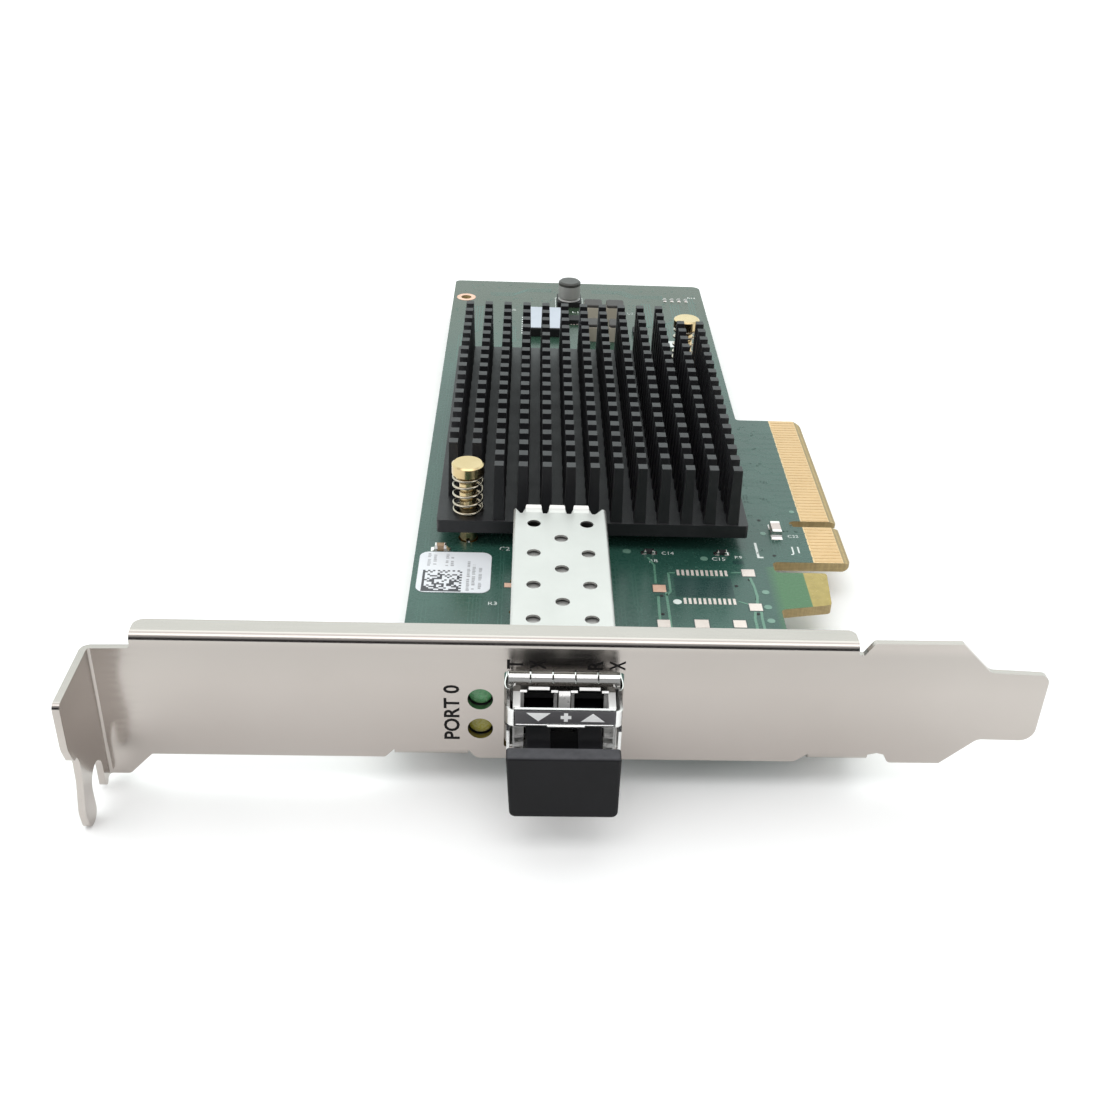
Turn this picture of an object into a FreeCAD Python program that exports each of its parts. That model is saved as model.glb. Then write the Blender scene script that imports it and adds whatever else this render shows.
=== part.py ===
import FreeCAD, Part
import math
import os

# Fibre channel adapter: a low-profile x8 edge-connector card on a full-height
# slot bracket, with one small-form pluggable optical port.
#
# Working axes (mm): X along the bracket, from the screw tab to the tongue;
# Y from the bracket's front face to the rear of the card; Z up from the
# component side.  All pieces are shifted at the end so that the origin is the
# card-edge datum: edge line, centre of the key notch, middle of the board.

# ---------------------------------------------------------------- dimensions
SHEET = 0.86              # bracket sheet
PLATE_W = 18.42           # bracket width
FLANGE_X0, FLANGE_X1 = 6.4, 95.5
FLANGE_D = 3.5
TAB_X0 = 0.45             # outer face of the screw tab
TAB_LEN = 11.4
NOTCH_W = 4.42            # screw notch
TONGUE_END = 120.3
BEND_R = 1.1

BOARD_TOP = -15.86
BOARD_T = 1.57
BOARD_BOT = BOARD_TOP - BOARD_T
BOARD_X0 = 36.75          # far long edge
BOARD_XB = 93.3           # inner long edge (beside the tongue)
EDGE_X = 105.45           # card-edge line
KEY_Y = 57.65             # centre of the key notch
KEY_W = 1.9
KEY_DEEP = 8.0
TONGUE_Y0 = KEY_Y - 12.15
TONGUE_Y1 = KEY_Y + 39.15
BOARD_Y0 = 1.4
BOARD_Y1 = 168.2

PORT_X = 59.1             # centre line of the optical port
CAGE_W = 14.0
CAGE_TOP = -6.05
CAGE_Y0, CAGE_Y1 = -1.0, 43.7
CAGE_WALL = 0.3
PORT_PITCH = 6.25
PORT_W = 4.56
AXIS_Z = -11.2            # optical axis

NOSE_Y = -5.25            # front of the posts of the transceiver nose
FACE_Y = -1.95            # front plate around the ports
NOSE_TOP = -5.25
BAIL_Y, BAIL_Z = -4.9, -14.4   # bail pivot
BAIL_T = 0.36
PLUG_Y = -12.4            # front face of the dust plug

SINK_X0, SINK_X1 = 40.05, 89.0
SINK_Y0, SINK_Y1 = 48.15, 117.7
SINK_BOT, SINK_BASE_TOP, SINK_TOP = -13.2, -11.0, -1.5
PIN_COLS, PIN_ROWS = 13, 19
PIN_PX, PIN_PY = 3.68, 3.74
PIN_X0, PIN_Y0 = 42.35, 49.45
PIN_WX, PIN_WY = 1.42, 1.6     # at the tips
PIN_DRAFT = 0.2                # each side, at the root
PUSH = [(44.85, 51.2), (84.5, 113.7)]

LED_X, LED_ZG, LED_ZA = 48.68, -9.0, -13.63
LED_HOLE = 3.2

ORIGIN = (EDGE_X, KEY_Y, BOARD_TOP - BOARD_T / 2)

V = FreeCAD.Vector
PIECES = {}


# ------------------------------------------------------------------- helpers
def box(x0, y0, z0, x1, y1, z1):
    return Part.makeBox(x1 - x0, y1 - y0, z1 - z0, V(x0, y0, z0))


def cyl(p, d, r, h):
    return Part.makeCylinder(r, h, V(*p), V(*d))


def wire2(pts, m):
    """Closed outline from (u, v[, corner radius]) points."""
    n = len(pts)
    tang = []
    for i in range(n):
        bx, by = pts[i][0], pts[i][1]
        r = pts[i][2] if len(pts[i]) > 2 else 0.0
        if r <= 0:
            tang.append(((bx, by), (bx, by), None))
            continue
        ax, ay = pts[i - 1][0] - bx, pts[i - 1][1] - by
        cx, cy = pts[(i + 1) % n][0] - bx, pts[(i + 1) % n][1] - by
        la, lc = math.hypot(ax, ay), math.hypot(cx, cy)
        ax, ay, cx, cy = ax / la, ay / la, cx / lc, cy / lc
        ang = math.acos(max(-1.0, min(1.0, ax * cx + ay * cy)))
        t = r / math.tan(ang / 2)
        sx, sy = ax + cx, ay + cy
        ls = math.hypot(sx, sy)
        sx, sy = sx / ls, sy / ls
        d = r / math.sin(ang / 2)
        mid = (bx + sx * (d - r), by + sy * (d - r))
        tang.append(((bx + ax * t, by + ay * t), (bx + cx * t, by + cy * t), mid))
    edges = []
    for i in range(n):
        p1, p2, mid = tang[i]
        if mid is not None:
            edges.append(Part.Arc(m(*p1), m(*mid), m(*p2)).toShape())
        q = tang[(i + 1) % n][0]
        if math.hypot(q[0] - p2[0], q[1] - p2[1]) > 1e-6:
            edges.append(Part.makeLine(m(*p2), m(*q)))
    return Part.Wire(edges)


def prism(pts, axis, a, b):
    if axis == "z":
        w, d = wire2(pts, lambda u, v: V(u, v, a)), V(0, 0, b - a)
    elif axis == "y":
        w, d = wire2(pts, lambda u, v: V(u, a, v)), V(0, b - a, 0)
    else:
        w, d = wire2(pts, lambda u, v: V(a, u, v)), V(b - a, 0, 0)
    return Part.Face(w).extrude(d)


def rect(u0, v0, u1, v1, r=0.0):
    return [(u0, v0, r), (u1, v0, r), (u1, v1, r), (u0, v1, r)]


def lathe(profile, x, y):
    """Solid of revolution about a vertical axis from (radius, z) points."""
    pts = [V(x + r, y, z) for r, z in profile]
    f = Part.Face(Part.makePolygon(pts + [pts[0]]))
    return f.revolve(V(x, y, 0), V(0, 0, 1), 360)


def lathe_y(profile, x, z):
    """Solid of revolution about an axis along Y from (radius, y) points."""
    pts = [V(x + r, y, z) for r, y in profile]
    f = Part.Face(Part.makePolygon(pts + [pts[0]]))
    return f.revolve(V(x, 0, z), V(0, 1, 0), 360)


def fuse(*shapes):
    return shapes[0].multiFuse(list(shapes[1:])).removeSplitter()


def near(value, target, tol=1e-3):
    return abs(value - target) < tol


def put(name, *shapes):
    solids = []
    for s in shapes:
        solids += s.Solids
    PIECES[name] = solids


# -------------------------------------------------------------- slot bracket
def bracket():
    t = SHEET
    ear_top = BOARD_BOT
    ear_bot = ear_top - t
    ez = ear_bot + BEND_R + 0.05
    fz = -BEND_R - 0.15
    outline = [
        (1.7, -2.1), (6.3, -2.0, 0.35), (FLANGE_X0, fz), (FLANGE_X1, fz),
        (96.15, -1.5, 0.25), (97.35, 0.4, 0.5), (108.4, 0.5, 0.3),
        (112.6, -3.75, 1.3), (TONGUE_END, -4.1, 1.25),
        (TONGUE_END - 0.1, -14.5, 1.9), (112.9, -14.35, 1.5),
        (108.5, -PLATE_W, 0.3), (101.7, -PLATE_W, 0.7), (101.0, -17.1, 0.3),
        (100.1, -16.85, 0.3), (98.9, ez), (91.1, ez), (89.4, -PLATE_W, 0.6),
        (48.2, -PLATE_W, 0.5), (47.1, ez), (37.7, ez), (36.5, -PLATE_W, 0.5),
        (7.0, -PLATE_W, 0.5), (3.9, -21.65, 0.9), (1.7, -21.65)]
    plate = prism(outline, "y", 0.0, t)

    # top flange folded to the rear, with rounded rear corners
    r, ri = BEND_R, BEND_R - t
    s = math.sqrt(0.5)

    def fold(z_start, z_out, depth, up):
        k = 1 if up else -1
        zc = z_out - k * r
        e = [Part.makeLine(V(0, 0, z_start), V(0, 0, zc)),
             Part.Arc(V(0, 0, zc), V(0, r - r * s, zc + k * r * s), V(0, r, z_out)).toShape(),
             Part.makeLine(V(0, r, z_out), V(0, depth, z_out)),
             Part.makeLine(V(0, depth, z_out), V(0, depth, z_out - k * t)),
             Part.makeLine(V(0, depth, z_out - k * t), V(0, r, z_out - k * t)),
             Part.Arc(V(0, r, z_out - k * t), V(0, r - ri * s, zc + k * ri * s), V(0, t, zc)).toShape(),
             Part.makeLine(V(0, t, zc), V(0, t, z_start)),
             Part.makeLine(V(0, t, z_start), V(0, 0, z_start))]
        return Part.Face(Part.Wire(e))

    f = fold(fz, 0.0, FLANGE_D, True)
    f.translate(V(FLANGE_X0, 0, 0))
    flange = f.extrude(V(FLANGE_X1 - FLANGE_X0, 0, 0))
    plan = prism([(FLANGE_X0, -1), (FLANGE_X1, -1), (FLANGE_X1, FLANGE_D, 1.1),
                  (FLANGE_X0, FLANGE_D, 1.35)], "z", -3, 1)
    flange = flange.common(plan)

    # two ears folded under the board
    ears = []
    for x0, x1 in ((37.7, 47.1), (91.1, 98.9)):
        e = fold(ez, ear_bot, 11.4, False)
        e.translate(V(x0, 0, 0))
        ear = e.extrude(V(x1 - x0, 0, 0))
        plan = prism([(x0, -1), (x1, -1), (x1, 11.4, 1.6), (x0, 11.4, 1.6)], "z", -20, -15)
        ears.append(ear.common(plan))

    # screw tab, folded forward
    x0, x1 = TAB_X0, TAB_X0 + t
    rc, ric = 1.25, 1.25 - t
    cx, cy = x0 + rc, t - rc
    e = [Part.makeLine(V(cx, t, 0), V(cx, 0, 0)),
         Part.Arc(V(cx, 0, 0), V(cx - ric * s, cy + ric * s, 0), V(x1, cy, 0)).toShape(),
         Part.makeLine(V(x1, cy, 0), V(x1, -1.0, 0)),
         Part.makeLine(V(x1, -1.0, 0), V(x0, -1.0, 0)),
         Part.makeLine(V(x0, -1.0, 0), V(x0, cy, 0)),
         Part.Arc(V(x0, cy, 0), V(cx - rc * s, cy + rc * s, 0), V(cx, t, 0)).toShape()]
    corner = Part.Face(Part.Wire(e))
    corner.translate(V(0, 0, -21.65))
    corner = corner.extrude(V(0, 0, 21.65 - 2.1))
    n0 = -6.55
    tab = prism([(-1.0, -2.1), (-TAB_LEN, -2.1, 0.8), (-TAB_LEN, -8.6, 3.0),
                 (-10.2, -11.5, 0.7), (-9.4, -11.0, 0.5), (-8.75, -12.6, 0.8),
                 (-8.95, -15.6, 2.0), (-10.05, -19.4, 2.5), (-9.45, -22.75, 1.5),
                 (n0 + 0.15, -22.75, 1.35), (n0, -19.3, 2.0),
                 (n0, -16.5, NOTCH_W / 2), (n0 + NOTCH_W, -16.5, NOTCH_W / 2),
                 (n0 + NOTCH_W, -22.1, 0.55), (-1.0, -22.1, 0.5)], "x", x0, x1)
    port = prism(rect(PORT_X - 7.45, -16.55, PORT_X + 7.45, -4.6, 0.4), "y", -1, 2)
    body = fuse(plate, flange, ears[0], ears[1], corner, tab)
    tools = [port,
             cyl((LED_X, -1, LED_ZG), (0, 1, 0), LED_HOLE / 2, 3),
             cyl((LED_X, -1, LED_ZA), (0, 1, 0), LED_HOLE / 2, 3),
             cyl((42.4, 7.2, -20), (0, 0, 1), 1.5, 4),
             cyl((95.0, 7.2, -20), (0, 0, 1), 1.5, 4)]
    return body.cut(tools)


put("bracket", bracket())


def bracket_screw(x, y):
    prof = [(0, -14.15), (1.5, -14.2), (2.3, -14.5), (2.75, -15.1), (2.75, BOARD_TOP),
            (1.45, BOARD_TOP), (1.45, -19.6), (1.1, -20.0), (0, -20.0)]
    s = lathe(prof, x, y)
    c1 = box(x - 1.6, y - 0.3, -15.2, x + 1.6, y + 0.3, -14)
    c2 = box(x - 0.3, y - 1.6, -15.2, x + 0.3, y + 1.6, -14)
    return s.cut([c1, c2])


put("bracket_screws", bracket_screw(42.4, 7.2), bracket_screw(95.0, 7.2))


# ------------------------------------------------------------- circuit board
CAGE_PINS = [(sx * (CAGE_W / 2 - 0.15), y) for sx in (-1, 1) for y in (4.5, 13.0, 21.5, 30.0, 38.5)]


def board():
    k = KEY_W / 2
    out = [(BOARD_X0, BOARD_Y0, 0.8), (98.9, BOARD_Y0, 0.8), (98.9, 15.0, 1.0),
           (92.3, 18.0, 1.0), (92.3, 31.9, 0.8), (100.2, 33.4, 0.8),
           (101.0, 42.4, 0.6), (92.9, 42.4, 0.8), (92.9, TONGUE_Y0, 0.8),
           (EDGE_X, TONGUE_Y0, 1.2), (EDGE_X, KEY_Y - k, 0.3),
           (EDGE_X - KEY_DEEP, KEY_Y - k, 0.94), (EDGE_X - KEY_DEEP, KEY_Y + k, 0.94),
           (EDGE_X, KEY_Y + k, 0.3), (EDGE_X, TONGUE_Y1, 1.8),
           (BOARD_XB, TONGUE_Y1, 0.8), (BOARD_XB, BOARD_Y1, 1.8),
           (BOARD_X0, BOARD_Y1, 1.2)]
    b = prism(out, "z", BOARD_BOT, BOARD_TOP)
    tools = [cyl((x, y, -20), (0, 0, 1), 1.6, 8) for x, y in PUSH]
    tools += [cyl((42.4, 7.2, -20), (0, 0, 1), 1.6, 8), cyl((95.0, 7.2, -20), (0, 0, 1), 1.6, 8),
              cyl((39.6, 157.5, -20), (0, 0, 1), 1.1, 8)]
    tools += [cyl((PORT_X + x, y, -20), (0, 0, 1), 0.55, 8) for x, y in CAGE_PINS]
    tools += [cyl((LED_X + dx, y, -20), (0, 0, 1), 0.4, 8) for dx in (-1.27, 1.27) for y in (4.2, 6.7)]
    # lead-in bevels on both sides of the card edge
    d, h = 1.15, 0.42
    for z0, k in ((BOARD_TOP, 1), (BOARD_BOT, -1)):
        tri = [V(EDGE_X - d, TONGUE_Y0 - 1, z0), V(EDGE_X + 0.2, TONGUE_Y0 - 1, z0 - k * h * (d + 0.2) / d),
               V(EDGE_X + 0.2, TONGUE_Y0 - 1, z0 + k), V(EDGE_X - d, TONGUE_Y0 - 1, z0 + k)]
        f = Part.Face(Part.makePolygon(tri + [tri[0]]))
        tools.append(f.extrude(V(0, TONGUE_Y1 - TONGUE_Y0 + 2, 0)))
    return b.cut(tools)


put("circuit_board", board())

FINGER_Y = [KEY_Y - 1.5 - i for i in range(11)] + [KEY_Y + 1.5 + i for i in range(38)]
FX0, FX1, FT = 99.75, 104.2, 0.05
put("edge_contacts_top", *[box(FX0, y - 0.36, BOARD_TOP, FX1, y + 0.36, BOARD_TOP + FT) for y in FINGER_Y])
put("edge_contacts_bottom", *[box(FX0, y - 0.36, BOARD_BOT - FT, FX1, y + 0.36, BOARD_BOT) for y in FINGER_Y])


# -------------------------------------------------------------- module cage
VENT_Y = [13.85 + 4.22 * i for i in range(-2, 7)]


def cage():
    x0, x1 = PORT_X - CAGE_W / 2, PORT_X + CAGE_W / 2
    w = CAGE_WALL
    floor0 = BOARD_TOP + 0.25
    shell = prism(rect(x0, BOARD_TOP, x1, CAGE_TOP, 0.45), "y", CAGE_Y0, CAGE_Y1)
    shell = shell.cut([box(x0 + w, CAGE_Y0 - 1, floor0 + w, x1 - w, CAGE_Y1 - w, CAGE_TOP - w),
                       box(x0 + w, CAGE_Y0 - 1, BOARD_TOP - 1, x1 - w, CAGE_Y1 + 1, floor0)])
    tools = []
    for i, y in enumerate(VENT_Y):
        xs = (-3.93, 3.93) if i % 2 == 0 else (0.05,)
        tools += [cyl((PORT_X + x, y, CAGE_TOP - 1), (0, 0, 1), 1.0, 2) for x in xs]
    # castellated rear edge of the top
    for a, b, c, d in ((-6.75, -5.2, -6.0, -5.7), (-2.8, -1.65, -2.6, -1.95), (0.75, 2.0, 1.0, 1.65), (4.35, 6.4, 4.8, 5.3)):
        tools.append(prism([(PORT_X + a, CAGE_Y1 + 0.05), (PORT_X + c, CAGE_Y1 - 1.5), (PORT_X + d, CAGE_Y1 - 1.5), (PORT_X + b, CAGE_Y1 + 0.05)],
                           "z", CAGE_TOP - 0.9, CAGE_TOP + 1))
    # side windows, connector well and latch slot in the floor
    for y in (8.0, 17.0, 25.5, 34.0):
        tools.append(box(x0 - 1, y - 1.6, -12.4, x1 + 1, y + 1.6, -10.2))
    tools.append(box(PORT_X - 6.2, 32.6, BOARD_TOP - 1, PORT_X + 6.2, CAGE_Y1 - w, floor0 + 1))
    tools.append(box(PORT_X - 1.7, CAGE_Y0 - 1, BOARD_TOP - 1, PORT_X + 1.7, 20.0, floor0 + 1))
    tools.append(box(PORT_X - 5.2, CAGE_Y1 - 1, BOARD_TOP - 1, PORT_X + 5.2, CAGE_Y1 + 1, -13.0))
    shell = shell.cut(tools)
    legs = []
    for x, y in CAGE_PINS:
        legs.append(box(PORT_X + x - 0.15, y - 0.42, BOARD_BOT - 1.1, PORT_X + x + 0.15, y + 0.42, BOARD_TOP + 0.6))
    # three solder-free spring tabs turned up at the rear edge
    lips = []
    for a, b in ((-5.2, -2.8), (-1.65, 0.75), (2.0, 4.35)):
        lip = prism([(CAGE_Y1 - 1.2, CAGE_TOP - 0.28), (CAGE_Y1 - 0.3, CAGE_TOP - 0.12, 1.0), (CAGE_Y1 + 0.35, CAGE_TOP + 0.35),
                     (CAGE_Y1 + 0.15, CAGE_TOP + 0.56), (CAGE_Y1 - 0.45, CAGE_TOP + 0.14, 1.0), (CAGE_Y1 - 1.2, CAGE_TOP)],
                    "x", PORT_X + a, PORT_X + b)
        lips.append(lip.common(prism([(PORT_X + a, CAGE_Y1 - 2), (PORT_X + b, CAGE_Y1 - 2), (PORT_X + b, CAGE_Y1 + 0.36, 0.6),
                                      (PORT_X + a, CAGE_Y1 + 0.36, 0.6)], "z", CAGE_TOP - 1, CAGE_TOP + 1)))
    return fuse(shell, *(legs + lips))


put("cage_shell", cage())


def collar():
    """Spring collar around the mouth of the cage: a band with arched fingers."""
    g, t = 0.02, 0.14
    x0, x1 = PORT_X - CAGE_W / 2 - g, PORT_X + CAGE_W / 2 + g
    top = CAGE_TOP + g
    zlow = -15.1
    band = prism([(x0 - t, zlow), (x0 - t, top + t, 0.55), (x1 + t, top + t, 0.55), (x1 + t, zlow)], "y", 1.1, 3.0)
    band = band.cut(prism([(x0, zlow - 1), (x0, top, 0.45), (x1, top, 0.45), (x1, zlow - 1)], "y", 0, 4))
    line = [(2.4, 0.02), (1.4, 0.55), (0.9, 0.9), (0.3, 1.17), (-0.25, 1.17), (-0.65, 0.98), (-0.92, 0.62), (-1.04, 0.2)]
    n = len(line)
    outer = []
    for i, (y, h) in enumerate(line):
        a = line[max(0, i - 1)]
        b = line[min(n - 1, i + 1)]
        dx, dy = b[0] - a[0], b[1] - a[1]
        ln = math.hypot(dx, dy)
        outer.append((y + dy / ln * t, h - dx / ln * t))
    prof = line + outer[::-1]
    fingers = []
    for i in range(5):
        xc = PORT_X + (i - 2) * 2.8
        fingers.append(prism([(y, top + h) for y, h in prof], "x", xc - 1.3, xc + 1.3))
    # small teeth that join neighbouring fingers at the mouth
    for i in range(4):
        xc = PORT_X + (i - 1.5) * 2.8
        fingers.append(prism([(xc - 0.17, top + 0.75), (xc + 0.17, top + 0.75), (xc + 0.1, -4.64), (xc - 0.1, -4.64)],
                             "y", -0.66, -0.52))
    side = [(y, h * 0.22) for y, h in line] + [(y, h - (hl - hl * 0.22)) for (y, h), (yl, hl) in
                                               zip(outer[::-1], line[::-1])]
    for zc in (-7.6, -10.5, -13.4):
        for k, xb in ((1, x1), (-1, x0)):
            pts = [(xb + k * h, y) for y, h in side]
            fingers.append(prism(pts, "z", zc - 1.3, zc + 1.3))
    return fuse(band, *fingers)


put("cage_spring_collar", collar())


def host_connector():
    h = prism(rect(PORT_X - 5.9, 33.4, PORT_X + 5.9, 42.9, 0.3), "z", BOARD_TOP, -9.6)
    slot = box(PORT_X - 5.0, 33.0, -12.35, PORT_X + 5.0, 40.4, -10.65)
    relief = box(PORT_X - 4.6, 33.0, -13.9, PORT_X + 4.6, 34.6, -9.0)
    return h.cut([slot, relief])


put("host_connector", host_connector())
put("host_connector_contacts",
    *[box(PORT_X - 3.75 + 0.8 * i + 0.15, 42.9, BOARD_TOP, PORT_X - 3.45 + 0.8 * i + 0.15, 43.38, BOARD_TOP + 0.22)
      for i in range(10)],
    *[box(PORT_X - 3.75 + 0.8 * i, 32.75, BOARD_TOP, PORT_X - 3.45 + 0.8 * i, 33.4, BOARD_TOP + 0.22)
      for i in range(10)])


# -------------------------------------------------------------- transceiver
def ports(y0, y1, z0, z1, w=PORT_W):
    return [box(PORT_X + k * PORT_PITCH / 2 - w / 2, y0, z0, PORT_X + k * PORT_PITCH / 2 + w / 2, y1, z1)
            for k in (-1, 1)]


def module_base():
    body = box(PORT_X - 6.25, -1.5, -15.1, PORT_X + 6.25, 32.8, -7.0)
    # front plate around the two ports, side posts and sill that carry the bail
    face = prism(rect(PORT_X - 6.3, -15.3, PORT_X + 6.3, NOSE_TOP, 0.4), "y", FACE_Y, -1.45)
    sill = prism(rect(PORT_X - 6.3, -15.3, PORT_X + 6.3, -13.75, 0.3), "y", NOSE_Y, FACE_Y + 0.3)
    parts = [body, face, sill]
    for k in (-1, 1):
        parts.append(prism([(FACE_Y + 0.3, -15.0), (NOSE_Y, -15.0), (NOSE_Y, -7.1, 0.5), (-4.6, -6.45, 0.4), (FACE_Y + 0.3, -6.1)], "x",
                           PORT_X + min(k * 5.4, k * 6.3), PORT_X + max(k * 5.4, k * 6.3)))
        parts.append(prism([(FACE_Y + 0.3, -14.5), (NOSE_Y + 0.15, -14.5), (NOSE_Y + 0.15, -9.2, 0.3), (FACE_Y + 0.3, -8.9)], "x",
                           PORT_X + min(k * 4.95, k * 5.5), PORT_X + max(k * 4.95, k * 5.5)))
    # pillar between the ports, with a rounded crown
    parts.append(prism([(-1.8, -9.0), (-3.1, -9.0), (-2.55, -6.5, 0.5), (-1.8, -5.95)], "x", PORT_X - 0.68, PORT_X + 0.74))
    parts.append(prism([(14.2, -15.1), (16.6, -15.1), (16.6, -15.42), (15.9, -15.42)], "x", PORT_X - 1.2, PORT_X + 1.2))
    # small sloping lips over each port
    for k in (-1, 1):
        x = PORT_X + k * PORT_PITCH / 2
        for a, c, z0, z1, d in ((-1.29, 1.29, -5.74, -5.42, 0.3), (-2.33, -1.49, -6.16, -5.92, 0.24), (1.5, 2.34, -6.16, -5.92, 0.24)):
            parts.append(prism([(FACE_Y + 0.1, z1 + 0.05), (FACE_Y - d, z0 + 0.05), (FACE_Y - d, z0), (FACE_Y + 0.1, z0)], "x", x + a, x + c))
    b = fuse(*parts)
    tools = [box(PORT_X - 5.6, -1.0, -14.2, PORT_X + 5.6, 10.2, -6.5),
             box(PORT_X - 5.5, 10.2, -14.3, PORT_X + 5.5, 33.5, -6.5)]
    # latch slot across each side post
    for k in (-1, 1):
        tools.append(box(PORT_X + min(k * 4.9, k * 6.05), NOSE_Y - 0.1, -11.4, PORT_X + max(k * 4.9, k * 6.05), NOSE_Y + 0.8, -10.8))
    tools += ports(-2.6, -1.45, -13.5, -6.2, 4.5)
    tools += ports(-2.6, -1.4, -7.0, -5.78, 2.8)
    tools += ports(-1.5, -0.5, -13.5, -6.5, 3.7)
    tools.append(box(PORT_X - 1.6, -3.5, -13.5, PORT_X + 1.6, -0.97, -9.2))
    # groove for the release slide, and the pivot bore
    tools.append(box(PORT_X - 2.4, -3.7, -16.0, PORT_X + 2.4, 13.2, -14.72))
    tools.append(cyl((PORT_X - 8, BAIL_Y, BAIL_Z), (1, 0, 0), 0.51, 16))
    # relief pockets in the posts beside the ports
    for k in (-1, 1):
        tools.append(prism(rect(PORT_X + k * 5.85 - 0.2, -8.6, PORT_X + k * 5.85 + 0.2, -7.2, 0.15), "y", NOSE_Y - 1, NOSE_Y + 0.3))
        # two lugs stand out of the lower half of each post
        for z0, z1 in ((-10.5, -9.1), (-11.58, -11.02), (-13.2, -12.2)):
            tools.append(box(PORT_X + min(k * 4.7, k * 6.05), NOSE_Y - 1, z0, PORT_X + max(k * 4.7, k * 6.05), NOSE_Y + 0.85, z1))
    b = b.cut(tools)
    # ledges that carry the module's circuit board
    led = [box(PORT_X + a, 17.0, -14.4, PORT_X + c, 32.8, -12.0) for a, c in ((-5.6, -4.7), (4.7, 5.6))]
    return fuse(b, *led)


put("transceiver_base", module_base())


def module_cover():
    c = prism(rect(PORT_X - 6.55, -9.5, PORT_X + 6.55, -6.7, 0.3), "y", 0.3, 37.2)
    c = c.cut(box(PORT_X - 6.3, -2, -10, PORT_X + 6.3, 38, -6.95))
    # grip ridges pressed into the top near the mouth
    rib = [cyl((PORT_X - 4.0, y, -6.95), (1, 0, 0), 0.28, 8.0).common(
        box(PORT_X - 7, y - 1, -6.7, PORT_X + 7, y + 1, -6.4)) for y in (2.0, 3.2, 4.4)]
    return fuse(c, *[r for r in rib if r.Volume > 1e-6])


put("transceiver_cover", module_cover())


def receptacle():
    r = box(PORT_X - 5.55, -0.95, -14.15, PORT_X + 5.55, 10.1, -7.05)
    tools = ports(-2.0, 8.0, -13.5, -7.9, 3.6)
    tools += [cyl((PORT_X + k * PORT_PITCH / 2, 7.0, AXIS_Z), (0, 1, 0), 1.3, 5) for k in (-1, 1)]
    return r.cut(tools)


put("port_receptacle", receptacle())


def optical_barrel(k, flange):
    prof = [(0.64, 3.6), (1.25, 3.6), (1.25, 10.35), (2.2, 10.35), (2.2, 12.0), (flange, 12.0), (flange, 13.2),
            (2.25, 13.2), (2.25, 15.9), (0, 15.9), (0, 7.5), (0.64, 7.5)]
    return lathe_y(prof, PORT_X + k * PORT_PITCH / 2, AXIS_Z)


put("laser_transmitter", optical_barrel(-1, 2.35))
put("photo_receiver", optical_barrel(1, 2.1))

put("module_board", prism([(PORT_X - 5.4, 16.3), (PORT_X + 5.4, 16.3), (PORT_X + 5.4, 32.9), (PORT_X + 4.7, 33.3),
                           (PORT_X + 4.7, 39.4, 0.4), (PORT_X - 4.7, 39.4, 0.4), (PORT_X - 4.7, 33.3),
                           (PORT_X - 5.4, 32.9)], "z", -12.0, -11.0))
put("module_driver_chip", box(PORT_X - 2.0, 21.0, -11.0, PORT_X + 2.0, 25.0, -10.1))
put("release_slide", fuse(box(PORT_X - 2.3, -3.5, -15.1, PORT_X + 2.3, 9.0, -14.78),
                          prism([(9.0, -14.78), (9.0, -15.1), (12.9, -14.95), (12.9, -14.78)], "x",
                                PORT_X - 1.4, PORT_X + 1.4)))
put("bail_pin", cyl((PORT_X - 7.0, BAIL_Y, BAIL_Z), (1, 0, 0), 0.5, 14.0))


# ------------------------------------------------------------- release bail
BAR_Z0, BAR_Z1 = -7.825, -5.265
BAR_Y0, BAR_Y1 = -6.70, -6.34
ARM_X = 6.66              # inner face of the bail's arms


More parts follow.
